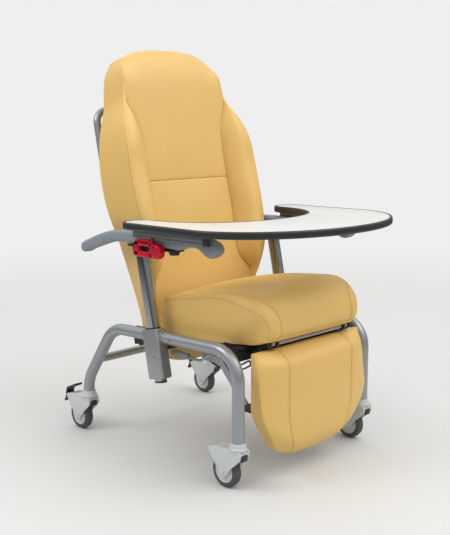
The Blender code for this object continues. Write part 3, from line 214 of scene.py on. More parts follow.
def surface(name, base, roughness, metallic=0.0, mottle=0.06, patch_mm=45.0, grain_mm=2.0,
            relief_mm=0.02, smudge=0.06, cells=False, crease=0.0):
    """A material with uneven colour in patches, uneven gloss, a fine relief and, where asked, painted shade
    along seams.
    """
    made = bpy.data.materials.new(name)
    made.use_nodes = True
    tree = made.node_tree
    shader = tree.nodes["Principled BSDF"]
    shader.inputs["Metallic"].default_value = metallic
    place = add_node(tree, "ShaderNodeTexCoord").outputs["Object"]
    patches = add_node(tree, "ShaderNodeTexNoise", values={"Scale": 1000.0 / patch_mm, "Detail": 3.0},
                       links={"Vector": place}).outputs[0]
    dark = tuple(c * (1.0 - mottle) for c in base)
    light = tuple(min(1.0, c * (1.0 + mottle)) for c in base)
    shade = add_node(tree, "ShaderNodeMix", {"data_type": "RGBA"}, {6: (*dark, 1.0), 7: (*light, 1.0)},
                     {0: patches}).outputs[2]
    # Painted shade: along seams and borders a mesh attribute mixes the colour towards a dark copy of the base
    if crease:
        seam = add_node(tree, "ShaderNodeAttribute", {"attribute_name": "crease"}).outputs["Fac"]
        line = add_node(tree, "ShaderNodeMath", {"operation": "POWER"}, {1: 2.2}, {0: seam}).outputs[0]
        depth = add_node(tree, "ShaderNodeMath", {"operation": "MULTIPLY"}, {1: crease}, {0: line})
        crease_shade_colour = tuple(c * 0.34 for c in base)
        shade = add_node(tree, "ShaderNodeMix", {"data_type": "RGBA"}, {7: (*crease_shade_colour, 1.0)},
                         {0: depth.outputs[0], 6: shade}).outputs[2]
    tree.links.new(shade, shader.inputs["Base Color"])
    gloss = add_node(tree, "ShaderNodeMapRange", values={1: 0.3, 2: 0.7, 3: roughness - smudge,
                                                         4: roughness + smudge}, links={0: patches})
    tree.links.new(gloss.outputs[0], shader.inputs["Roughness"])
    kind = "ShaderNodeTexVoronoi" if cells else "ShaderNodeTexNoise"
    grain = add_node(tree, kind, values={"Scale": 1000.0 / grain_mm}, links={"Vector": place}).outputs[0]
    bump = add_node(tree, "ShaderNodeBump", values={"Distance": relief_mm / 1000.0, "Strength": 0.7},
                    links={"Height": grain})
    tree.links.new(bump.outputs[0], shader.inputs["Normal"])
    return made


def make_materials(finish):
    """Every finish of the chair, by its name in the record or by its trade name."""
    vinyl = surface("coated_vinyl", finish.vinyl, 0.46, mottle=0.035, patch_mm=70.0, grain_mm=1.6,
                    relief_mm=0.07, cells=True, crease=0.95)
    thread = tuple(c * 0.86 for c in finish.vinyl)
    return {
        # Coated fabric: a soft broad sheen over a pebbled grain, with painted shade darkening the seams
        "ochre_vinyl": vinyl,
        # Twisted thread, a shade darker than the cloth
        "thread": surface("polyester_thread", thread, 0.7, mottle=0.12, patch_mm=3.0, grain_mm=0.5),
        # Silver powder coat: a grey glitter under a slight orange peel
        "grey_paint": surface("silver_powder_coat", finish.paint, 0.34, metallic=0.6, mottle=0.10,
                              patch_mm=1.3, grain_mm=3.0, relief_mm=0.03),
        # Black powder coat: almost no colour, a dull satin edge
        "black_steel": surface("black_powder_coat", finish.steel, 0.5, grain_mm=1.0, mottle=0.2),
        # Chrome: clear reflections with faint rubbed patches
        "chrome": surface("bright_chrome", finish.chrome, 0.09, metallic=1.0, mottle=0.04, smudge=0.03,
                          grain_mm=30.0, relief_mm=0.01),
        # Self-skinned foam: a matt grey with fine pores
        "grey_moulded_foam": surface("moulded_foam_skin", finish.foam, 0.55, grain_mm=1.2,
                                     relief_mm=0.06, cells=True),
        # Moulded plastic: black with a satin sheen
        "black_plastic": surface("black_moulded_plastic", finish.plastic, 0.42, mottle=0.12, grain_mm=0.9),
        # Glossy red plastic of the clamps
        "red_plastic": surface("red_nylon", finish.red, 0.3, mottle=0.06, grain_mm=4.0),
        # Melamine: an off-white sheet with a fine mottle and a low sheen
        "off_white_laminate": surface("tray_laminate", finish.laminate, 0.33, mottle=0.02, patch_mm=4.0,
                                      grain_mm=0.8, relief_mm=0.015),
        # Anodised aluminium: a pale dull metal
        "aluminium": surface("anodised_aluminium", linear("#85898C"), 0.34, metallic=0.8, patch_mm=12.0),
        # Plywood stained black
        "black_stained_plywood": surface("stained_plywood", linear("#1E1B19"), 0.7, mottle=0.3,
                                         patch_mm=9.0),
        # Moulded nylon: pale grey, waxy
        "caster_plastic": surface("caster_nylon", finish.caster, 0.4, mottle=0.03, grain_mm=2.5),
        # Rubber: a dull grey that dust makes uneven
        "tyre_rubber": surface("grey_rubber", finish.tyre, 0.75, mottle=0.16, patch_mm=8.0, grain_mm=0.7,
                               relief_mm=0.05),
    }


MATERIALS = {}


# Pieces
def skin(name, points, faces, weld=False):
    """A mesh of points and faces with its normals turned outward."""
    mesh = bpy.data.meshes.new(name)
    mesh.from_pydata([tuple(map(float, point)) for point in points], [], faces)
    builder = bmesh.new()
    builder.from_mesh(mesh)
    if weld:
        bmesh.ops.remove_doubles(builder, verts=builder.verts, dist=1e-6)
    bmesh.ops.recalc_face_normals(builder, faces=builder.faces)
    builder.to_mesh(mesh)
    builder.free()
    return mesh


def linked(name, data):
    """A new object in the scene."""
    item = bpy.data.objects.new(name, data)
    bpy.context.scene.collection.objects.link(item)
    return item


def add_piece(name, points, faces, slot, body, nodes=()):
    """A closed mesh piece that rides on a body and stands for CAD nodes."""
    mesh = skin(name, points, faces, weld=True)
    mesh.shade_smooth()
    mesh.set_sharp_from_angle(angle=math.radians(SHARP_DEG))
    mesh.materials.append(MATERIALS[slot])
    return settle(linked(name, mesh), slot, body, nodes)


def settle(piece, slot, body, nodes=()):
    """Ties a finished piece to its body and the solids that it stands for; the slot is not used."""
    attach(piece, body)
    if nodes:
        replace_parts(piece, *nodes)
    return piece


def merge(shapes):
    """Several (points, faces) shapes as one."""
    points = []
    faces = []
    for more_points, more_faces in shapes:
        shift = len(points)
        points.extend(more_points)
        faces.extend([tuple(index + shift for index in face) for face in more_faces])
    return points, faces


def carried(shape, change):
    """A shape with each of its points changed."""
    points, faces = shape
    return [change(np.asarray(point, float)) for point in points], faces


def mirrored(shape, sign):
    """A shape of the left side, or its mirror image on the right."""
    return carried(shape, lambda p: (sign * p[0], p[1], p[2]))


def loft(rings, closed=False):
    """A skin through rings of equal length; its ends are capped unless it is closed on itself."""
    count = len(rings[0])
    points = [point for ring in rings for point in ring]
    faces = []
    last = len(rings) if closed else len(rings) - 1
    for row in range(last):
        here = row * count
        there = (row + 1) % len(rings) * count
        for column in range(count):
            after = (column + 1) % count
            faces.append((here + column, here + after, there + after, there + column))
    if not closed:
        faces.append(tuple(range(count))[::-1])
        start = (len(rings) - 1) * count
        faces.append(tuple(range(start, start + count)))
    return points, faces


def turned(profile, steps=64, closed=False):
    """A profile of (radius, place along x) turned about x."""
    rings = []
    for radius, along in profile:
        angles = np.linspace(0.0, 2.0 * math.pi, steps, endpoint=False)
        rings.append([(along, radius * math.cos(a), radius * math.sin(a)) for a in angles])
    return loft(rings, closed)


def bent_path(corners, radii, steps=14):
    """A path through corners, each inner one rounded by an arc."""
    corners = [Vector(corner) for corner in corners]
    path = [corners[0]]
    for index, radius in enumerate(radii, start=1):
        here = corners[index]
        into = (corners[index - 1] - here).normalized()
        out = (corners[index + 1] - here).normalized()
        half = into.angle(out) / 2.0
        reach = radius / math.tan(half)
        middle = here + (into + out).normalized() * radius / math.sin(half)
        start = here + into * reach - middle
        end = here + out * reach - middle
        for step in range(steps + 1):
            path.append(middle + start.slerp(end, step / steps).normalized() * radius)
    path.append(corners[-1])
    return path


def tube(path, radius, sides=28):
    """A round tube along a path, with capped ends."""
    path = [Vector(point) for point in path]
    ahead = [(path[min(i + 1, len(path) - 1)] - path[max(i - 1, 0)]).normalized() for i in range(len(path))]
    side = ahead[0].orthogonal().normalized()
    rings = []
    for point, direction in zip(path, ahead):
        side = (side - direction * side.dot(direction)).normalized()
        other = direction.cross(side)
        ring = []
        for step in range(sides):
            angle = 2.0 * math.pi * step / sides
            ring.append(tuple(point + (side * math.cos(angle) + other * math.sin(angle)) * radius))
        rings.append(ring)
    return loft(rings)


def rounded_block(low, high, bevel):
    """A box with rounded edges, as points and faces."""
    low = Vector(low)
    high = Vector(high)
    builder = bmesh.new()
    bmesh.ops.create_cube(builder, size=1.0)
    bmesh.ops.scale(builder, vec=high - low, verts=builder.verts)
    bmesh.ops.translate(builder, vec=(high + low) / 2.0, verts=builder.verts)
    bmesh.ops.bevel(builder, geom=builder.edges[:], offset=bevel, segments=3, affect="EDGES", profile=0.5)
    return from_builder(builder)


def from_builder(builder):
    """The points and faces of a bmesh, which is freed."""
    builder.verts.index_update()
    points = [tuple(v.co) for v in builder.verts]
    faces = [tuple(v.index for v in f.verts) for f in builder.faces]
    builder.free()
    return points, faces


def side_plate(outline, x_low, x_high, bevel):
    """A (y, z) outline as a plate across x, with rounded rims."""
    builder = bmesh.new()
    bottom = [builder.verts.new((x_low, y, z)) for y, z in outline]
    base = builder.faces.new(bottom)
    made = bmesh.ops.extrude_face_region(builder, geom=[base])
    top = [item for item in made["geom"] if isinstance(item, bmesh.types.BMVert)]
    bmesh.ops.translate(builder, vec=(x_high - x_low, 0.0, 0.0), verts=top)
    bmesh.ops.recalc_face_normals(builder, faces=builder.faces)
    if bevel:
        rims = [edge for edge in builder.edges
                if abs(edge.verts[0].co.x - edge.verts[1].co.x) < 1e-7]
        bmesh.ops.bevel(builder, geom=rims, offset=bevel, segments=3, affect="EDGES", profile=0.5,
                        clamp_overlap=True)
    return from_builder(builder)


def arc(centre, radius, start_deg, end_deg, steps):
    """Points of an arc in a plane."""
    angles = np.radians(np.linspace(start_deg, end_deg, steps + 1))
    return [(centre[0] + radius * math.cos(a), centre[1] + radius * math.sin(a)) for a in angles]


def oval(width, depth, radius, steps=8):
    """A rectangle with round corners about the origin."""
    points = []
    for sign_x, sign_y, start in ((1, 1, 0.0), (-1, 1, 90.0), (-1, -1, 180.0), (1, -1, 270.0)):
        centre = (sign_x * (width / 2.0 - radius), sign_y * (depth / 2.0 - radius))
        points.extend(arc(centre, radius, start, start + 90.0, steps))
    return points


def unit(value):
    """A value held between 0 and 1."""
    return np.clip(value, 0.0, 1.0)


def smooth_table(rows, column=1):
    """A smooth function through the rows of a table, read by the first column."""
    places = np.array([row[0] for row in rows])
    values = np.array([row[column] for row in rows])
    slopes = np.gradient(values, places)

    def read(at):
        at = np.clip(at, places[0], places[-1])
        index = np.clip(np.searchsorted(places, at) - 1, 0, len(places) - 2)
        step = places[index + 1] - places[index]
        t = (at - places[index]) / step
        start = values[index] * (1 + 2 * t) * (1 - t) ** 2 + step * slopes[index] * t * (1 - t) ** 2
        end = values[index + 1] * t * t * (3 - 2 * t) + step * slopes[index + 1] * t * t * (t - 1)
        return start + end

    return read


def leaning(at, angle):
    """The change from (x, depth, height) in a leaning frame to the chair's frame."""
    def change(p):
        return (at[0] + p[0], at[1] + p[1] * math.cos(angle) + p[2] * math.sin(angle),
                at[2] - p[1] * math.sin(angle) + p[2] * math.cos(angle))

    return change


def in_chair(p):
    """A place that is measured from the middle of the chair's wheels."""
    return (p[0], p[1] + CHAIR_Y, p[2])


# Upholstery
def spaced(start, end, count, seams, near):
    """Even places between two ends, with close neighbours on each side of every seam."""
    clear = near[-1] * 1.4
    even = [x for x in np.linspace(start, end, count) if all(abs(x - seam) > clear for seam in seams)]
    close = [seam + sign * step for seam in seams for step in (0.0, *near) for sign in SIGNS]
    return np.array(sorted({round(x, 5) for x in even + close if start <= x <= end}))


def column_places(share):
    """Places of the columns across a cushion, close beside its edges and its two seams."""
    return spaced(-1.0, 1.0, CUSHION_COLUMNS, (-1.0, -share, share, 1.0), SEAM_NEAR)


def boxed(front, rear, swell):
    """A closed cushion from a front grid, a rear grid and a gusset between their borders."""
    rows, columns = front.shape[:2]
    border = [(0, c) for c in range(columns)] + [(r, columns - 1) for r in range(1, rows)]
    border += [(rows - 1, c) for c in range(columns - 2, -1, -1)] + [(r, 0) for r in range(rows - 2, 0, -1)]
    points = list(front.reshape(-1, 3)) + list(rear.reshape(-1, 3))
    faces = []
    for shift, turn in ((0, 1), (rows * columns, -1)):
        for r in range(rows - 1):
            for c in range(columns - 1):
                a = shift + r * columns + c
                faces.append((a, a + 1, a + columns + 1, a + columns)[::turn])
    centre = (front.reshape(-1, 3).mean(0) + rear.reshape(-1, 3).mean(0)) / 2.0
    loops = [[r * columns + c for r, c in border]]
    for share in GUSSET_RINGS:
        loop = []
        for r, c in border:
            place = front[r, c] * (1.0 - share) + rear[r, c] * share
            across = rear[r, c] - front[r, c]
            out = place - centre
            out = out - across * (out @ across) / max(1e-9, across @ across)
            out = out / max(1e-9, np.linalg.norm(out))
            loop.append(len(points))
            points.append(place + out * swell * math.sin(math.pi * share))
        loops.append(loop)
    loops.append([rows * columns + r * columns + c for r, c in border])
    for loop, below in zip(loops, loops[1:]):
        for index in range(len(border)):
            after = (index + 1) % len(border)
            faces.append((loop[index], below[index], below[after], loop[after]))
    return np.array(points), faces, border


def grid_normals(grid, outward):
    """Unit normals of a grid of points, turned to one side."""
    across = np.gradient(grid, axis=1)
    along = np.gradient(grid, axis=0)
    normals = np.cross(across, along)
    normals /= np.maximum(np.linalg.norm(normals, axis=2, keepdims=True), 1e-9)
    return normals * np.where((normals @ np.asarray(outward)) < 0.0, -1.0, 1.0)[..., None]


def puffed(points, faces, held, finish):
    """Where a cushion's points go when air fills its cover and its seams are held."""
    cover = linked("cover", skin("cover", points, faces))
    pins = cover.vertex_groups.new(name="held")
    pins.add([int(index) for index in np.flatnonzero(held)], 1.0, "REPLACE")
    cloth = cover.modifiers.new("Cloth", "CLOTH")
    for key, value in COVER_CLOTH.items():
        setattr(cloth.settings, key, value)
    cloth.settings.uniform_pressure_force = finish.puff
    cloth.settings.effector_weights.gravity = 0.0
    cloth.collision_settings.use_collision = False
    cloth.point_cache.frame_start = 1
    cloth.point_cache.frame_end = COVER_FRAMES
    scene = bpy.context.scene
    for step in range(1, COVER_FRAMES + 1):
        scene.frame_set(step)
    graph = bpy.context.evaluated_depsgraph_get()
    done = cover.evaluated_get(graph).to_mesh()
    moved = np.array([tuple(v.co) for v in done.vertices])
    bpy.data.objects.remove(cover, do_unlink=True)
    scene.frame_set(1)
    shift = moved - points
    length = np.linalg.norm(shift, axis=1, keepdims=True)
    return points + shift * finish.puff_limit / (finish.puff_limit + length)


def upholster(name, body, nodes, grids, seams, outward, change, finish, swell):
    """One cushion: a front grid, a rear grid, its seams pulled in, and stitches along them."""
    front, rear = grids
    rows, columns = front.shape[:2]
    pull = np.zeros((rows, columns))
    stitched = []
    for kind, index, span in seams:
        for shift in (0, -2, 2):
            beside = index + shift
            line = [(at, beside) if kind == "column" else (beside, at) for at in range(*span)]
            if shift:
                stitched.append(line)
            else:
                pull[tuple(zip(*line))] = 1.0
    edge = np.zeros((rows, columns))
    edge[0, :] = edge[-1, :] = edge[:, 0] = edge[:, -1] = 1.0
    points, faces, border = boxed(front, rear, swell)
    held = np.ones(len(points), bool)
    held[:rows * columns] = (np.maximum(pull, edge) > 0.0).ravel()
    points = puffed(points, faces, held, finish)
    grid = points[:rows * columns].reshape(rows, columns, 3)
    normals = grid_normals(grid, outward)
    dip = np.maximum(pull, edge * 0.35)
    points[:rows * columns] -= (normals * dip[..., None] * GROOVE).reshape(-1, 3)
    # Painted shade mask: 1 on the seams and 0.85 on the border, read by the vinyl to darken its colour
    crease = np.zeros(len(points))
    crease[:rows * columns] = np.maximum(pull, edge * 0.85).ravel()
    mesh = skin(name, [change(p) for p in points], faces)
    mesh.attributes.new("crease", "FLOAT", "POINT").data.foreach_set("value", crease.astype(np.float32))
    mesh.materials.append(MATERIALS["ochre_vinyl"])
    cushion = linked(name, mesh)
    smooth = cushion.modifiers.new("Smooth", "SUBSURF")
    smooth.levels = smooth.render_levels = 1
    bake(cushion)
    cushion.data.shade_smooth()
    settle(cushion, "ochre_vinyl", body, nodes)
    inner = [(min(max(r, 2), rows - 3), min(max(c, 2), columns - 3)) for r, c in border]
    stitched.append(inner + inner[:1])
    lines = [[change(grid[at] + normals[at] * STITCH_LIFT) for at in line] for line in stitched]
    stitches(f"{name}_stitches", body, lines)


def bake(piece):
    """Makes a piece's modifiers part of its mesh."""
    graph = bpy.context.evaluated_depsgraph_get()
    mesh = bpy.data.meshes.new_from_object(piece.evaluated_get(graph))
    piece.modifiers.clear()
    piece.data = mesh
    mesh.name = piece.name


def stitch_tree(material):
    """Geometry nodes that lay short stitches along lines."""
    tree = bpy.data.node_groups.new("Stitches", "GeometryNodeTree")
    face = tree.interface
    face.new_socket("Lines", in_out="INPUT", socket_type="NodeSocketGeometry")
    step = face.new_socket("Step", in_out="INPUT", socket_type="NodeSocketFloat")
    size = face.new_socket("Size", in_out="INPUT", socket_type="NodeSocketFloat")
    face.new_socket("Stitches", in_out="OUTPUT", socket_type="NodeSocketGeometry")
    start = add_node(tree, "NodeGroupInput")
    curve = add_node(tree, "GeometryNodeMeshToCurve", links={0: start.outputs["Lines"]})
    dots = add_node(tree, "GeometryNodeCurveToPoints", {"mode": "LENGTH"},
                    links={"Curve": curve.outputs[0], "Length": start.outputs["Step"]})
    ball = add_node(tree, "GeometryNodeMeshUVSphere", values={"Segments": 6, "Rings": 4, "Radius": 1.0})
    scale = add_node(tree, "ShaderNodeCombineXYZ", values={"X": STITCH_R, "Y": STITCH_R},
                     links={"Z": start.outputs["Size"]})
    laid = add_node(tree, "GeometryNodeInstanceOnPoints",
                    links={"Points": dots.outputs["Points"], "Instance": ball.outputs["Mesh"],
                           "Rotation": dots.outputs["Rotation"], "Scale": scale.outputs[0]})
    real = add_node(tree, "GeometryNodeRealizeInstances", links={0: laid.outputs[0]})
    painted = add_node(tree, "GeometryNodeSetMaterial", values={"Material": material},
                       links={"Geometry": real.outputs[0]})
    add_node(tree, "NodeGroupOutput", links={0: painted.outputs[0]})
    return tree, step.identifier, size.identifier


def stitches(name, body, lines):
    """Rows of stitches along lines, as one plain mesh."""
    points = []
    edges = []
    for line in lines:
        start = len(points)
        points.extend(tuple(map(float, p)) for p in line)
        edges.extend((start + i, start + i + 1) for i in range(len(line) - 1))
    mesh = bpy.data.meshes.new(name)
    mesh.from_pydata(points, edges, [])
    piece = linked(name, mesh)
    tree, step, size = stitch_tree(MATERIALS["thread"])
    rows = piece.modifiers.new("Stitches", "NODES")
    rows.node_group = tree
    rows[step] = STITCH_STEP
    rows[size] = STITCH_STEP * STITCH_SHARE
    bake(piece)
    piece.data.shade_smooth()
    return settle(piece, "ochre_vinyl", body)


def column_split(s, inner, outer):
    """Place across a cushion: the centre panel takes the first part, the side panel the rest."""
    share = np.abs(s)
    inside = inner * share / SEAM_SHARE
    outside = inner + (outer - inner) * (share - SEAM_SHARE) / (1.0 - SEAM_SHARE)
    return np.where(share <= SEAM_SHARE, inside, outside) * np.sign(s)


def index_of(places, value):
    """Index of a place in a sorted list."""
    return int(np.argmin(np.abs(places - value)))


def seam_columns(places, share):
    """Indices of the columns of the right and the left seam."""
    return [index_of(places, sign * share) for sign in SIGNS]


def back_grids():
    """Front and rear grids of the back in its own frame, and its seams."""
    lumbar_t = (LUMBAR_SEAM - BACK_LOW) / (BACK_HIGH - BACK_LOW)
    s_list = column_places(SEAM_SHARE)
    t_list = spaced(0.0, 1.0, 57, (0.0, lumbar_t, 1.0), (0.0022, 0.0075))
    s, t = np.meshgrid(s_list, t_list)
    u_side = BACK_LOW + (BACK_HIGH - BACK_LOW) * t
    half = smooth_table(BACK_WIDTHS)(u_side)
    inner = np.minimum(smooth_table(WING_SEAM)(u_side), half * 0.955)
    x = column_split(s, inner, half)
    top = smooth_table(HEAD_TOP)(np.abs(x))
    low = -0.100 + 0.022 * (np.abs(x) / 0.19) ** 4
    rise = unit((t - 0.80) / 0.20) ** 1.7
    drop = unit((0.10 - t) / 0.10) ** 1.7
    u = u_side + rise * (top - BACK_HIGH) + drop * (low - BACK_LOW)
    crest = smooth_table(WING_CREST)(u_side)
    edge = smooth_table(BACK_EDGE_SEAM)(u_side)
    q = unit((np.abs(x) - inner) / (half - inner))
    crown = 0.006 * np.cos(unit(np.abs(x) / half) * math.pi / 2.0)
    top_of_wing = BACK_FACE - crest
    up = np.sin(unit(q / 0.62) * math.pi / 2.0) ** 1.3
    away = unit((q - 0.62) / 0.38) ** 2
    v = BACK_FACE - crown - crest * up
    v = v + away * (edge - top_of_wing)
    gap_top = unit(1.0 - (top - u) / 0.065)
    gap_low = unit(1.0 - (u - low) / 0.05)
    v = v + 0.030 * gap_top ** 1.6 + 0.022 * gap_low ** 2
    rear_half = smooth_table(BACK_REAR_WIDTHS)(u_side)
    rear_x = s * rear_half
    rear_top = smooth_table(HEAD_TOP)(np.abs(rear_x)) - 0.004
    rear_u = u_side + rise * (rear_top - BACK_HIGH) + drop * (low + 0.002 - BACK_LOW)
    soft = np.maximum(np.abs(s) ** 16, np.abs(2.0 * t - 1.0) ** 24)
    rear_v = BACK_REAR - 0.009 * soft
    front = np.stack([x, v, u], axis=2)
    rear = np.stack([rear_x, rear_v, rear_u], axis=2)
    span = [index_of(t_list, (u - BACK_LOW) / (BACK_HIGH - BACK_LOW)) for u in WING_SEAM_SPAN]
    wing = seam_columns(s_list, SEAM_SHARE)
    lumbar = index_of(t_list, lumbar_t)
    seams = [("column", column, (span[0], span[1] + 1)) for column in wing]
    seams.append(("row", lumbar, (wing[0], wing[1] + 1)))
    return (front, rear), seams


def seat_grids():
    """Top and bottom grids of the seat in the chair's frame, and its seams."""
    s_list = column_places(SEAM_SHARE)
    t_list = spaced(0.0, 1.0, 45, (0.0, 1.0), (0.004, 0.014))
    s, t = np.meshgrid(s_list, t_list)
    read = [smooth_table(SEAT_ROWS, column)(t) for column in range(1, 9)]
    centre_y, centre_z, inner_x, inner_y, inner_z, side_x, side_y, side_z = read
    x = column_split(s, inner_x, side_x)
    share = unit(np.abs(s) / SEAM_SHARE) ** 2.4
    q = unit((np.abs(s) - SEAM_SHARE) / (1.0 - SEAM_SHARE))
    y = centre_y + (inner_y - centre_y) * share
    z = centre_z + (inner_z - centre_z) * share
    round_off = 0.007 * np.sin(q * math.pi)
    y = y + (side_y - inner_y) * q - round_off * unit((t - 0.6) / 0.2)
    z = z + (side_z - inner_z) * q + round_off * unit((0.85 - t) / 0.2)
    front = np.stack([x, y, z], axis=2)
    low_y = 0.020 + (-0.384 - 0.020) * t
    low_x = s * np.minimum(side_x, 0.248)
    lip = 0.014 * unit((-0.320 - low_y) / 0.06) ** 2
    low_z = SEAT_BOTTOM + (0.020 - low_y) * SEAT_TILT + 0.004 * np.abs(s) ** 16 + lip
    rear = np.stack([low_x, low_y, low_z], axis=2)
    start = index_of(t_list, SEAT_SEAM_START)
    seams = [("column", column, (start, len(t_list))) for column in seam_columns(s_list, SEAM_SHARE)]
    return (front, rear), seams


def legrest_grids():
    """Front and rear grids of the legrest in its own frame, and its seams."""
    s_list = column_places(LEG_SEAM_SHARE)
    t_list = spaced(0.0, 1.0, 41, (0.0, 1.0), (0.005, 0.018))
    s, t = np.meshgrid(s_list, t_list)
    u_side = LEG_TOP + (LEG_CORNER - LEG_TOP) * t
    bend = unit((LEG_STRAIGHT - u_side) / (LEG_STRAIGHT - LEG_BOTTOM))
    half = (LEG_HALF - 0.003) * (1.0 - bend ** LEG_POWER) ** (1.0 / LEG_POWER)
    x = s * half
    reach = unit(np.abs(x) / LEG_HALF)
    bottom = LEG_STRAIGHT - (LEG_STRAIGHT - LEG_BOTTOM) * (1.0 - reach ** LEG_POWER) ** (1.0 / LEG_POWER)
    sink = unit((t - 0.5) / 0.5) ** 1.6
    u = u_side + sink * (bottom - LEG_CORNER)
    edge = smooth_table(LEG_EDGE_SEAM)(u)
    q = unit((np.abs(s) - LEG_SEAM_SHARE) / (1.0 - LEG_SEAM_SHARE))
    v = LEG_FACE + (edge - LEG_FACE) * q ** 2.2 + 0.004 * np.abs(s) ** 2
    roll = unit(1.0 - (LEG_TOP - u) / 0.045)
    toe = unit(1.0 - (u - bottom) / 0.060)
    v = v + (0.004 - v) * roll ** 2.2
    v = v + (edge - v) * toe ** 2.0
    front = np.stack([x, v, u], axis=2)
    soft = np.maximum(np.abs(s) ** 16, np.abs(2.0 * t - 1.0) ** 20)
    rear_v = LEG_REAR - 0.006 * soft
    rear = np.stack([x * 0.975, rear_v, u * 0.99 - 0.001], axis=2)
    seams = [("column", column, (0, len(t_list))) for column in seam_columns(s_list, LEG_SEAM_SHARE)]
    return (front, rear), seams


class RECLINER_OT_upholstery(bpy.types.Operator):
    """Adds the padded back, seat and legrest with their seams"""
    bl_idname = "recliner.upholstery"
    bl_label = "Upholstery"

    def execute(self, context):
        finish = context.scene.recliner_finish
        grids, seams = back_grids()
        upholster("back_upholstery", "backrest", ("back_cushion", "back_shell"), grids, seams,
                  (0.0, -1.0, 0.0), leaning(RECLINE_AT, LEAN), finish, swell=0.004)
        grids, seams = seat_grids()
        upholster("seat_upholstery", "chassis", ("seat_cushion",), grids, seams, (0.0, -0.5, 1.0),
                  in_chair, finish, swell=0.004)
        grids, seams = legrest_grids()
        upholster("legrest_upholstery", "legrest", ("legrest_cushion", "legrest_board"), grids, seams,
                  (0.0, -1.0, 0.0), leaning(LEGREST_AT, 0.0), finish, swell=0.001)
        return {"FINISHED"}


# Steel tubes, measured from the middle of the chair's wheels
TUBE_X = 0.302
TUBE_R = 0.019
STEM_Y = 0.367
FOOT_Z = 0.150
FRONT_TOP_Z = 0.4214
REAR_TOP = (0.2206, 0.3988)
REAR_KNEE_Z = 0.190
FRONT_BEND = 0.090
REAR_BENDS = (0.115, 0.118)
TUBE_END_Y = 0.034
WELD_Y = 0.0385
WELD_R = 0.0022
CROSS_TUBE_YZ = (0.310, 0.272)
CROSS_TUBE_R = 0.014
POST_AT = (0.310, 0.005, 0.433)
SLEEVE_SIZE = (0.040, 0.074)
SLEEVE_BORE = (0.031, 0.053)
SLEEVE_LOW = -0.160


def side_paths(sign):
    """Front and rear halves of one side tube, each up to the post's sleeve."""
    x = sign * TUBE_X
    slope = (REAR_TOP[1] - FRONT_TOP_Z) / (REAR_TOP[0] + STEM_Y)

    def top(y):
        return (x, y, FRONT_TOP_Z + slope * (y + STEM_Y))

    front = bent_path([(x, -STEM_Y, FOOT_Z), (x, -STEM_Y, FRONT_TOP_Z), top(-TUBE_END_Y)], [FRONT_BEND])
    rear = bent_path([top(TUBE_END_Y), (x, *REAR_TOP), (x, STEM_Y, REAR_KNEE_Z), (x, STEM_Y, FOOT_Z)],
                     REAR_BENDS)
    return front, rear


def post_place(sign):
    """The change from a post's leaning frame to the chair's frame."""
    return leaning((sign * POST_AT[0], POST_AT[1] + CHAIR_Y, POST_AT[2]), LEAN)


def sleeve_shape():
    """A square tube with rounded corners, along its own axis."""
    rings = []
    width, depth = SLEEVE_SIZE
    for inset, height in ((0.0, SLEEVE_LOW + 0.002), (0.0, -0.002), (0.0005, -0.0006), (0.002, 0.0)):
        rings.append([(x, y, height) for x, y in oval(width - 2 * inset, depth - 2 * inset, 0.006)])
    width, depth = SLEEVE_BORE
    for grow, height in ((0.001, 0.0), (0.0, -0.001), (0.0, SLEEVE_LOW + 0.001), (0.001, SLEEVE_LOW)):
        rings.append([(x, y, height) for x, y in oval(width + 2 * grow, depth + 2 * grow, 0.0088)])
    rings.append([(x, y, SLEEVE_LOW) for x, y in oval(SLEEVE_SIZE[0] - 0.004, SLEEVE_SIZE[1] - 0.004, 0.005)])
    return loft(rings, closed=True)


def weld_shape(path, sign):
    """The bead where a side tube meets its sleeve."""
    end = path[-1] if path[0].z < REAR_KNEE_Z else path[0]
    face = math.copysign(WELD_Y, end.y)
    reach = TUBE_R + 0.0007
    ring = [(sign * TUBE_X + reach * math.cos(a), face, end.z + reach * math.sin(a))
            for a in np.linspace(0.0, 2.0 * math.pi, 40)]
    return tube(ring, WELD_R, 8)


class RECLINER_OT_side_frames(bpy.types.Operator):
    """Adds the bent side tubes, the sleeves of the posts and the cross tube"""
    bl_idname = "recliner.side_frames"
    bl_label = "Side frames"

    def execute(self, context):
        for side, sign in SIDES:
            for end, path in zip(("front", "rear"), side_paths(sign)):
                shape = carried(tube(path, TUBE_R), in_chair)
                add_piece(f"{end}_side_tube_{side}", *shape, "grey_paint", "chassis",
                          (f"{end}_leg_tube_{side}",))
            shape = carried(sleeve_shape(), post_place(sign))
            add_piece(f"sleeve_{side}", *shape, "grey_paint", "chassis", (f"post_sleeve_{side}",))
            beads = [carried(weld_shape(path, sign), in_chair) for path in side_paths(sign)]
            add_piece(f"weld_beads_{side}", *merge(beads), "grey_paint", "chassis")
        reach = TUBE_X - 0.012
        ends = [(-reach, *CROSS_TUBE_YZ), (reach, *CROSS_TUBE_YZ)]
        cross = carried(tube(ends, CROSS_TUBE_R), in_chair)
        add_piece("cross_tube", *cross, "grey_paint", "chassis", ("rear_cross_tube",))
        return {"FINISHED"}


# Push bar, in the backrest's frame: width, depth behind the hinge, height along the back
PUSH_BAR_X = 0.222
PUSH_BAR_R = 0.0125
PUSH_BAR_FOOT = (0.0995, 0.530)
PUSH_BAR_DEPTH = 0.1335
PUSH_BAR_TOP = 0.792
PUSH_BAR_BENDS = (0.026, 0.045, 0.045, 0.026)


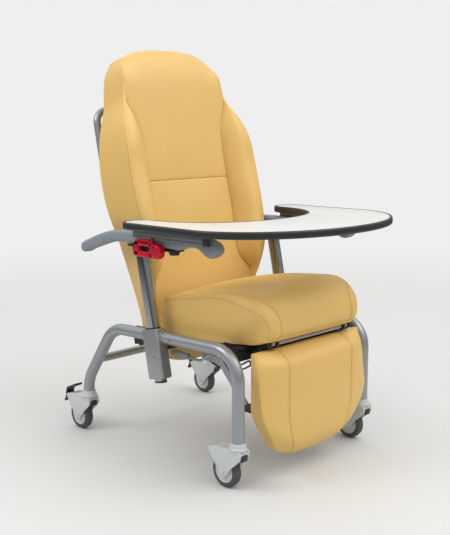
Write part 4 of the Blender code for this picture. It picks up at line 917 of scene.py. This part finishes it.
class RECLINER_OT_push_bar(bpy.types.Operator):
    """Adds the bent bar behind the back"""
    bl_idname = "recliner.push_bar"
    bl_label = "Push bar"

    def execute(self, context):
        foot = (-PUSH_BAR_X, *PUSH_BAR_FOOT)
        knee = (-PUSH_BAR_X, PUSH_BAR_DEPTH, PUSH_BAR_FOOT[1])
        shoulder = (-PUSH_BAR_X, PUSH_BAR_DEPTH, PUSH_BAR_TOP)
        half = [foot, knee, shoulder]
        corners = half + [(-x, y, z) for x, y, z in reversed(half)]
        shape = carried(tube(bent_path(corners, PUSH_BAR_BENDS), PUSH_BAR_R), leaning(RECLINE_AT, LEAN))
        add_piece("push_handle", *shape, "grey_paint", "backrest", ("push_bar",))
        return {"FINISHED"}


# Armrests: a post has its width, depth and corner, and its heights along its own axis
POST_SIZE = (0.025, 0.047, 0.012)
POST_HEIGHTS = (-0.168, 0.0, 0.130, 0.261)
PAD_X = 0.315
PAD_ENDS = (-0.306, 0.346)
PAD_HALF_WIDTH = 0.022
PAD_UNDERSIDE = 0.7003
CLAMP_X = (0.3379, 0.352)
# Bars of a clamp: y and z of one corner, y and z of the other, bevel
CLAMP_BARS = ((-0.0415, 0.668, 0.044, 0.686, 0.003), (-0.0415, 0.703, 0.044, 0.7195, 0.003),
              (-0.0415, 0.670, -0.029, 0.717, 0.003), (0.0235, 0.672, 0.044, 0.717, 0.003),
              (-0.028, 0.712, 0.030, 0.7263, 0.0015))
DRUM_R = 0.0235
DRUM_YZ = (-0.066, 0.692)
DRUM_OUTER_X = 0.359
TAB_FOOT = (-0.056, 0.702)
TAB_TIP = (-0.045, 0.730)
TAB_HALF_WIDTH = 0.005
TAB_REACH = 0.003
# Pads by depth of the chair: y, top, underside
PAD_ROWS = ((0.346, 0.679, 0.650), (0.343, 0.681, 0.6485), (0.300, 0.699, 0.661), (0.235, 0.722, 0.6815),
            (0.187, 0.734, 0.695), (0.145, 0.739, 0.7003), (0.0, 0.7425, 0.7003), (-0.133, 0.744, 0.7003),
            (-0.178, 0.7448, 0.713), (-0.212, 0.7455, 0.716), (-0.236, 0.746, 0.711),
            (-0.251, 0.7464, 0.700), (-0.268, 0.7462, 0.692), (-0.285, 0.7425, 0.6935),
            (-0.297, 0.735, 0.7005), (-0.304, 0.726, 0.709), (-0.306, 0.719, 0.716))


def pad_shape(sign):
    """An armrest pad as rounded sections along its length."""
    rows = PAD_ROWS[::-1]
    places = np.concatenate([np.linspace(PAD_ENDS[0], -0.25, 18), np.linspace(-0.245, 0.12, 40),
                             np.linspace(0.13, PAD_ENDS[1], 24)])
    tops = smooth_table([(row[0], row[1]) for row in rows])(places)
    lows = smooth_table([(row[0], row[2]) for row in rows])(places)
    lows = np.where((places > -0.128) & (places < 0.10), np.maximum(lows, PAD_UNDERSIDE), lows)
    rings = []
    for y, top, low in zip(places, tops, lows):
        ends = min(1.0, (y - PAD_ENDS[0]) / 0.018, (PAD_ENDS[1] + 0.001 - y) / 0.005)
        half = PAD_HALF_WIDTH * (0.78 + 0.22 * math.sqrt(max(0.0, ends * (2.0 - ends))))
        tall = max(0.0006, (top - low) / 2.0)
        ring = []
        for angle in np.linspace(0.0, 2.0 * math.pi, 40, endpoint=False):
            c, s = math.cos(angle), math.sin(angle)
            across = math.copysign(abs(c) ** 0.5, c) * half
            up = math.copysign(abs(s) ** 0.62, s) * tall
            ring.append((sign * PAD_X + across, y, (top + low) / 2.0 + up))
        rings.append(ring)
    return loft(rings)


class RECLINER_OT_armrests(bpy.types.Operator):
    """Adds the posts, pads and red clamps of both armrests"""
    bl_idname = "recliner.armrests"
    bl_label = "Armrests"

    def execute(self, context):
        for side, sign in SIDES:
            body = f"armrest_{side}"
            rings = [[(x, y, z) for x, y in oval(*POST_SIZE)] for z in POST_HEIGHTS]
            add_piece(f"post_{side}", *carried(loft(rings), post_place(sign)), "chrome", body,
                      (f"arm_post_{side}",))
            pad = add_piece(f"pad_{side}", *carried(pad_shape(sign), in_chair), "grey_moulded_foam", body,
                            (f"arm_pad_{side}",))
            self.add_clamp(side, sign, body)
        return {"FINISHED"}

    def add_clamp(self, side, sign, body):
        """A window block with a shoe below the rail, and the cam drum with its tab."""
        inner, face = CLAMP_X
        bars = [rounded_block((inner, y_low, z_low), (face, y_high, z_high), bevel)
                for y_low, z_low, y_high, z_high, bevel in CLAMP_BARS]
        add_piece(f"clamp_{side}", *carried(mirrored(merge(bars), sign), in_chair), "red_plastic", body,
                  (f"tray_clamp_{side}",))
        reach = DRUM_R
        outer = DRUM_OUTER_X
        profile = [(0.0, inner), (reach - 0.001, inner), (reach, inner + 0.001), (reach, outer - 0.005),
                   (reach - 0.0012, outer - 0.0018), (reach - 0.005, outer), (reach * 0.62, outer),
                   (reach * 0.58, outer - 0.0012), (0.008, outer - 0.0012), (0.0075, outer), (0.0, outer)]
        drum = carried(turned(profile, 56), lambda p: p + (0.0, *DRUM_YZ))
        foot = Vector(TAB_FOOT)
        tip = Vector(TAB_TIP)
        along = (tip - foot).normalized()
        wide = Vector((-along.y, along.x)) * TAB_HALF_WIDTH
        heel = foot - along * TAB_REACH
        point = tip + along * TAB_REACH
        corners = [heel - wide, tip - wide, point - wide * 0.5, point + wide * 0.5, tip + wide, heel + wide]
        tab = side_plate([tuple(p) for p in corners], face + 0.001, outer, 0.0012)
        shape = carried(mirrored(merge([drum, tab]), sign), in_chair)
        add_piece(f"clamp_lever_{side}", *shape, "red_plastic", f"clamp_lever_{side}",
                  (f"tray_clamp_lever_{side}",))


# Tray, in its own plane, which rises a little to the front
TRAY_TOP = 0.7795
TRAY_TILT = math.radians(0.76)
TRAY_HALF = 0.405
ARM_TIP_R = 0.055
ARM_TIP_Y = 0.012
RECESS_DEPTH = 0.267
RECESS_POWER = 2.0 / 2.2
FRONT_CENTRE_Y = -0.270
FRONT_DEPTH = 0.300
# Bars of a rail: x from and to, how much shorter at each end, z from and to, bevel
RAIL_BARS = ((0.340, 0.352, 0.0, -0.0525, -0.0445, 0.0012), (0.340, 0.352, 0.0, -0.0285, -0.0199, 0.0012),
             (0.340, 0.3504, 0.0002, -0.046, -0.027, 0.0004),
             (0.3505, 0.352, 0.0002, -0.0377, -0.0353, 0.0004))
RAIL_Y = (-0.268, 0.050)
RAIL_CAP = ((0.339, -0.290, -0.0535), (0.353, -0.2683, -0.0199))
# Sections of the rim: inset from the outline, height
EDGING_SECTION = ((0.0093, -0.0015), (0.0085, -0.0003), (0.0065, 0.0), (0.0030, -0.0004),
                  (0.0010, -0.0022), (0.0, -0.0060), (0.0, -0.0165), (0.0010, -0.0203),
                  (0.0030, -0.0221), (0.0065, -0.0225), (0.0093, -0.0205))
PANEL_SECTION = ((0.0094, -0.0195), (0.0094, -0.0014), (0.0098, -0.0011), (0.0110, -0.0010))


def tray_outline(steps=28):
    """The D of the tray with its recess, as (x, y), clockwise from the recess."""
    half = []
    recess_half = TRAY_HALF - 2.0 * ARM_TIP_R
    for step in range(steps):
        angle = math.pi / 2.0 * step / steps
        half.append((recess_half * math.sin(angle) ** RECESS_POWER,
                     ARM_TIP_Y - RECESS_DEPTH * math.cos(angle) ** RECESS_POWER))
    half += arc((TRAY_HALF - ARM_TIP_R, ARM_TIP_Y), ARM_TIP_R, 180.0, 0.0, 24)
    half.append((TRAY_HALF, -0.100))
    half.append((TRAY_HALF, -0.200))
    for step in range(steps + 1):
        angle = math.pi / 2.0 * step / steps
        half.append((TRAY_HALF * math.cos(angle), FRONT_CENTRE_Y - FRONT_DEPTH * math.sin(angle)))
    return half + [(-x, y) for x, y in reversed(half[1:-1])]


def drawn_in(outline, inset):
    """The outline moved inwards by an even inset; the outline runs clockwise."""
    made = []
    for index, point in enumerate(outline):
        here = Vector(point)
        into = (here - Vector(outline[index - 1])).normalized()
        out = (Vector(outline[(index + 1) % len(outline)]) - here).normalized()
        along = (into + out).normalized()
        made.append(tuple(here + Vector((along.y, -along.x)) * inset))
    return made


def rim_rings(outline, section):
    """One ring of the outline for each inset and height of a section."""
    return [[(x, y, height) for x, y in drawn_in(outline, inset)] for inset, height in section]


class RECLINER_OT_tray(bpy.types.Operator):
    """Adds the tray's panel, its edging, rails and caps"""
    bl_idname = "recliner.tray"
    bl_label = "Tray"

    def execute(self, context):
        place = leaning((0.0, CHAIR_Y, TRAY_TOP), TRAY_TILT)
        outline = tray_outline()
        edging = loft(rim_rings(outline, EDGING_SECTION), closed=True)
        add_piece("edging", *carried(edging, place), "black_plastic", "tray", ("tray_edging",))
        panel = loft(rim_rings(outline, PANEL_SECTION))
        add_piece("panel", *carried(panel, place), "off_white_laminate", "tray", ("tray_panel",))
        front, rear = RAIL_Y
        bars = [rounded_block((x_low, front + short, z_low), (x_high, rear - short, z_high), bevel)
                for x_low, x_high, short, z_low, z_high, bevel in RAIL_BARS]
        cap = rounded_block(*RAIL_CAP, 0.003)
        for side, sign in SIDES:
            add_piece(f"rail_{side}", *carried(mirrored(merge(bars), sign), place), "aluminium", "tray",
                      (f"tray_rail_{side}",))
            add_piece(f"rail_cap_{side}", *carried(mirrored(cap, sign), place), "black_plastic", "tray",
                      (f"tray_rail_cap_{side}",))
        return {"FINISHED"}


# Casters, each measured from the point of the floor below its stem
AXLE = (0.0, 0.047, 0.050)
PEDAL_PIVOT = (0.0, 0.094, 0.115)
PEDAL_LINE = ((0.0, 0.034, -0.029), (0.0, 0.0245, -0.014), (0.0, 0.0235, 0.005), (0.0, 0.018, 0.020),
              (0.0, -0.028, 0.040))
PEDAL_BENDS = (0.012, 0.02, 0.012)
PEDAL_SECTION = (0.034, 0.0076, 0.0030)
PEDAL_ARM = ((-0.004, -0.005, -0.005), (0.004, 0.022, 0.005))
CASTER_STOP = ((-0.0125, -0.0290, 0.096), (0.0125, -0.0150, 0.1165))
CHEEK_X = (0.0167, 0.022)
BRIDGE_HALF_WIDTH = 0.0180
AXLE_CAP = ((0.0040, 0.0130), (0.0040, 0.0221), (0.0080, 0.0222), (0.0080, 0.0238), (0.0065, 0.0245),
            (0.0015, 0.0247))
COLLAR_PROFILE = ((0.0255, 0.1255), (0.028, 0.1275), (0.028, 0.1345), (0.0268, 0.136), (0.0240, 0.1364),
                  (0.0235, 0.138), (0.0235, 0.1475), (0.0225, 0.1492), (0.0100, 0.1496), (0.0097, 0.1930))
FORK_OUTLINE = ([(0.030, 0.1285), (-0.020, 0.1285)] + arc((-0.0185, 0.121), 0.0075, 95.0, 180.0, 5)
                + [(-0.027, 0.108), (-0.0245, 0.102), (-0.016, 0.093), (0.010, 0.070)]
                + arc(AXLE[1:], 0.016, 215.0, 330.0, 10)
                + [(0.074, 0.066), (0.094, 0.092), (0.104, 0.105), (0.1075, 0.110), (0.106, 0.116),
                   (0.098, 0.1205), (0.070, 0.126), (0.050, 0.1282)])


def fork_shape():
    """A caster fork: two cheeks, the bridge over the wheel and a stepped collar."""
    cheek = side_plate(FORK_OUTLINE, *CHEEK_X, 0.002)
    cheeks = [mirrored(cheek, sign) for sign in SIGNS]
    over = arc(AXLE[1:], 0.0538, 128.0, 52.0, 16)
    bridge = side_plate(over + [(0.098, 0.1195), (0.070, 0.1252), (0.050, 0.1274), (-0.018, 0.1274),
                                (-0.024, 0.121), (-0.025, 0.110), (-0.010, 0.100)],
                        -BRIDGE_HALF_WIDTH, BRIDGE_HALF_WIDTH, 0.0)
    rings = []
    for radius, height in COLLAR_PROFILE:
        rings.append([(radius * math.cos(a), radius * math.sin(a), height)
                      for a in np.linspace(0.0, 2.0 * math.pi, 48, endpoint=False)])
    return merge(cheeks + [bridge, loft(rings)])


def tyre_shape():
    """A tyre with a rounded tread."""
    profile = [(0.0362, 0.0145), (0.0405, 0.0150), (0.0440, 0.0146), (0.0470, 0.0132), (0.0490, 0.0105),
               (0.04985, 0.0065), (0.0500, 0.0)]
    profile = profile + [(radius, -along) for radius, along in profile[-2::-1]]
    return turned(profile, 96, closed=True)


def hub_shape():
    """A hub disc with a rim lip, a dished face and an axle cap on each side."""
    half = [(0.0359, 0.0), (0.0359, 0.0128), (0.0350, 0.0140), (0.0330, 0.0140), (0.0318, 0.0118),
            (0.0200, 0.0108), (0.0160, 0.0138), (0.0128, 0.0145), (0.0120, 0.0145)]
    profile = half[::-1] + [(radius, -along) for radius, along in half[1:]]
    disc = turned(profile, 72)
    cap = turned(AXLE_CAP, 32)
    caps = [mirrored(cap, sign) for sign in SIGNS]
    return merge([disc] + caps)


def pedal_shape():
    """A bent foot plate on its arm, about the pedal's pivot."""
    line = bent_path(PEDAL_LINE, PEDAL_BENDS, 6)
    rings = []
    for index, point in enumerate(line):
        ahead = (line[min(index + 1, len(line) - 1)] - line[max(index - 1, 0)]).normalized()
        across = Vector((0.0, -ahead.z, ahead.y))
        ring = []
        for x, depth in oval(*PEDAL_SECTION, 4):
            ring.append(tuple(point + Vector((x, 0.0, 0.0)) + across * depth))
        rings.append(ring)
    arm = rounded_block(*PEDAL_ARM, 0.0018)
    return merge([loft(rings), arm])


class RECLINER_OT_casters(bpy.types.Operator):
    """Adds the four swivel casters and the two brake pedals"""
    bl_idname = "recliner.casters"
    bl_label = "Casters"

    def execute(self, context):
        for end, way in ENDS:
            for side, sign in SIDES:
                name = f"{end}_{side}"
                stem = np.array((sign * TUBE_X, way * STEM_Y + CHAIR_Y, 0.0))

                def at(shift, stem=stem):
                    return lambda p: tuple(p + stem + shift)

                add_piece(f"{name}_fork", *carried(fork_shape(), at((0.0, 0.0, 0.0))), "caster_plastic",
                          f"{name}_swivel", (f"{name}_caster_fork",))
                stop = rounded_block(*CASTER_STOP, 0.004)
                add_piece(f"{name}_stop", *carried(stop, at((0.0, 0.0, 0.0))), "black_plastic",
                          f"{name}_swivel")
                add_piece(f"{name}_tyre", *carried(tyre_shape(), at(AXLE)), "tyre_rubber",
                          f"{name}_wheel", (f"{name}_caster_tyre",))
                add_piece(f"{name}_hub", *carried(hub_shape(), at(AXLE)), "caster_plastic",
                          f"{name}_wheel", (f"{name}_caster_hub",))
                if end == "rear":
                    add_piece(f"{name}_pedal_plate", *carried(pedal_shape(), at(PEDAL_PIVOT)),
                              "black_plastic", f"{name}_pedal", (f"{name}_brake_pedal",))
        return {"FINISHED"}


# Running gear
LEVER_ROUTE = ((-0.2458, -0.215, 0.383), (-0.2695, -0.215, 0.383), (-0.2695, -0.170, 0.352),
               (-0.2695, -0.116, 0.356))
LEVER_BENDS = (0.012, 0.03)
LEVER_R = 0.0045
GRIP_AT = (-0.2695, -0.118, 0.356)
GRIP_PROFILE = ((0.0, 0.0), (0.0070, 0.0), (0.0088, 0.0012), (0.0098, 0.004), (0.0096, 0.030),
                (0.0104, 0.060), (0.0104, 0.070), (0.0090, 0.0742), (0.0060, 0.0758), (0.0, 0.076))
GRIP_RISE = 0.04
BOLT_PROFILE = ((0.0, 0.0030), (0.0030, 0.0028), (0.0052, 0.0018), (0.0060, 0.0002), (0.0060, -0.0010))
BOLTS_AT = ((0.330, -0.020, 0.345), (0.3205, -0.088, 0.4105))


class RECLINER_OT_running_gear(bpy.types.Operator):
    """Adds the release lever and the bolts, and paints the solids that stay in view"""
    bl_idname = "recliner.running_gear"
    bl_label = "Running gear"

    def execute(self, context):
        lever = tube(bent_path(LEVER_ROUTE, LEVER_BENDS), LEVER_R, 20)
        add_piece("lever_rod", *carried(lever, in_chair), "chrome", "release_lever",
                  ("release_lever_rod",))
        x, y, z = GRIP_AT
        grip = carried(turned(GRIP_PROFILE, 40), lambda p: (p[1] + x, p[0] + y, p[2] + z + GRIP_RISE * p[0]))
        add_piece("lever_grip", *carried(grip, in_chair), "grey_moulded_foam", "release_lever",
                  ("release_lever_grip",))
        self.add_bolts()
        shown = shown_nodes()
        for row in frame["record"]["subparts"]:
            if row["node"] in shown:
                paint(row["node"], row["material_slot"])
        return {"FINISHED"}

    def add_bolts(self):
        """Domed bolt heads on the outer faces of the sleeves and tubes."""
        heads = []
        for sign in SIGNS:
            for at in BOLTS_AT:
                head = carried(turned(BOLT_PROFILE, 24), lambda p: p + at)
                heads.append(mirrored(head, sign))
        add_piece("frame_bolts", *carried(merge(heads), in_chair), "chrome", "chassis")


def shown_nodes():
    """CAD nodes that no piece stands for."""
    hidden = set()
    for item in bpy.context.scene.objects:
        if "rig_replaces" in item:
            hidden.update(item["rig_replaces"])
    return set(frame["nodes"]) - hidden


def paint(node, slot):
    """Gives a CAD node that stays in view its procedural material."""
    item = frame["nodes"][node]
    for place in item.material_slots:
        place.material = MATERIALS[slot]


# Stage
def aimed(item, at, target):
    """Puts an item at a place and turns it to a target."""
    item.location = at
    item.rotation_euler = (Vector(target) - Vector(at)).to_track_quat("-Z", "Y").to_euler()


BACKDROP = "#EFEFEF"
DARK_STUDIO = "#4A4A4A"
FLOOR_REACH = 12.0
KEY_AT = (0.8, -1.9, 3.3)
KEY_SIZE = 3.2
SIDE_AT = (-2.4, 1.0, 2.9)
SIDE_SIZE = 1.6
SIDE_SHARE = 0.6
LIGHT_AIM = (0.0, 0.0, 0.5)
CAMERA_AT = (-2.1171, -2.1009, 1.1050)
CAMERA_AIM = (0.0077, 0.0356, 0.593)


class RECLINER_OT_stage(bpy.types.Operator):
    """Adds the floor, the lights and the camera"""
    bl_idname = "recliner.stage"
    bl_label = "Stage"

    def execute(self, context):
        stage = context.scene.recliner_stage
        floor_mesh = bpy.data.meshes.new("studio_floor")
        signs = ((-1.0, -1.0), (1.0, -1.0), (1.0, 1.0), (-1.0, 1.0))
        corners = [(x * FLOOR_REACH, y * FLOOR_REACH, 0.0) for x, y in signs]
        floor_mesh.from_pydata(corners, [], [(0, 1, 2, 3)])
        floor_mesh.materials.append(self.floor_material(stage))
        floor = linked("studio_floor", floor_mesh)
        self.add_light("key", KEY_AT, KEY_SIZE, stage.key_power)
        self.add_light("side", SIDE_AT, SIDE_SIZE, stage.key_power * SIDE_SHARE)
        self.add_world(context.scene, stage)
        camera = linked("camera", bpy.data.cameras.new("camera"))
        camera.data.lens = stage.lens
        camera.data.sensor_width = 36.0
        camera.data.sensor_fit = "AUTO"
        aimed(camera, CAMERA_AT, CAMERA_AIM)
        context.scene.camera = camera
        context.scene.view_settings.view_transform = "Standard"
        return {"FINISHED"}

    def floor_material(self, stage):
        """A pale studio floor that turns into the backdrop with distance, so that no edge shows."""
        made = surface("studio_floor", stage.floor, 0.7, mottle=0.01, patch_mm=600.0, grain_mm=5.0)
        tree = made.node_tree
        place = add_node(tree, "ShaderNodeTexCoord").outputs["Object"]
        away = add_node(tree, "ShaderNodeVectorMath", {"operation": "LENGTH"}, links={0: place})
        share = add_node(tree, "ShaderNodeMapRange", {"interpolation_type": "SMOOTHSTEP"},
                         {1: 1.2, 2: 5.0}, {0: away.outputs["Value"]}).outputs[0]
        ray = add_node(tree, "ShaderNodeLightPath").outputs["Is Camera Ray"]
        far = add_node(tree, "ShaderNodeMix", {"data_type": "RGBA"},
                       {6: (*linear(DARK_STUDIO), 1.0), 7: (*linear(BACKDROP), 1.0)}, {0: ray})
        glow = add_node(tree, "ShaderNodeEmission", links={"Color": far.outputs[2]})
        near = tree.nodes["Principled BSDF"].outputs[0]
        mixed = add_node(tree, "ShaderNodeMixShader", links={0: share, 1: near, 2: glow.outputs[0]})
        tree.links.new(mixed.outputs[0], tree.nodes["Material Output"].inputs["Surface"])
        return made

    def add_light(self, name, at, size, power):
        """A round soft light."""
        light = bpy.data.lights.new(name, "AREA")
        light.shape = "DISK"
        light.size = size
        light.energy = power
        aimed(linked(name, light), at, LIGHT_AIM)

    def add_world(self, scene, stage):
        """A dome that is pale above and darker round the horizon; the camera sees a plain backdrop."""
        world = bpy.data.worlds.new("studio")
        scene.world = world
        world.use_nodes = True
        tree = world.node_tree
        ground = tree.nodes["Background"]
        ground.inputs["Strength"].default_value = stage.dome
        facing = add_node(tree, "ShaderNodeTexCoord").outputs["Generated"]
        up = add_node(tree, "ShaderNodeSeparateXYZ", links={0: facing}).outputs["Z"]
        shade = add_node(tree, "ShaderNodeMapRange", values={1: 0.05, 2: 0.75, 3: 0.22, 4: 1.0},
                         links={0: up})
        tree.links.new(shade.outputs[0], ground.inputs["Color"])
        seen = add_node(tree, "ShaderNodeBackground", values={"Color": (*linear(BACKDROP), 1.0)})
        ray = add_node(tree, "ShaderNodeLightPath").outputs["Is Camera Ray"]
        mixed = add_node(tree, "ShaderNodeMixShader",
                         links={0: ray, 1: ground.outputs[0], 2: seen.outputs[0]})
        tree.links.new(mixed.outputs[0], tree.nodes["World Output"].inputs["Surface"])


class RECLINER_PT_panel(bpy.types.Panel):
    """Buttons and settings of the recliner"""
    bl_idname = "RECLINER_PT_panel"
    bl_label = "Patient recliner"
    bl_space_type = "VIEW_3D"
    bl_region_type = "UI"
    bl_category = "Recliner"

    def draw(self, context):
        for operator in OPERATORS:
            self.layout.operator(operator.bl_idname)
        for group in (context.scene.recliner_finish, context.scene.recliner_stage):
            for key in group.__annotations__:
                self.layout.prop(group, key)


OPERATORS = (RECLINER_OT_upholstery, RECLINER_OT_side_frames, RECLINER_OT_push_bar, RECLINER_OT_armrests,
             RECLINER_OT_tray, RECLINER_OT_casters, RECLINER_OT_running_gear, RECLINER_OT_stage)
CLASSES = (RecliningChairFinish, RecliningChairStage, *OPERATORS, RECLINER_PT_panel)


def register():
    for item in CLASSES:
        bpy.utils.register_class(item)
    bpy.types.Scene.recliner_finish = bpy.props.PointerProperty(type=RecliningChairFinish)
    bpy.types.Scene.recliner_stage = bpy.props.PointerProperty(type=RecliningChairStage)


def unregister():
    del bpy.types.Scene.recliner_stage
    del bpy.types.Scene.recliner_finish
    for item in reversed(CLASSES):
        bpy.utils.unregister_class(item)


def main():
    register()
    MATERIALS.update(make_materials(bpy.context.scene.recliner_finish))
    bpy.ops.recliner.upholstery()
    bpy.ops.recliner.side_frames()
    bpy.ops.recliner.push_bar()
    bpy.ops.recliner.armrests()
    bpy.ops.recliner.tray()
    bpy.ops.recliner.casters()
    bpy.ops.recliner.running_gear()
    bpy.ops.recliner.stage()


if __name__ == "__main__":
    main()
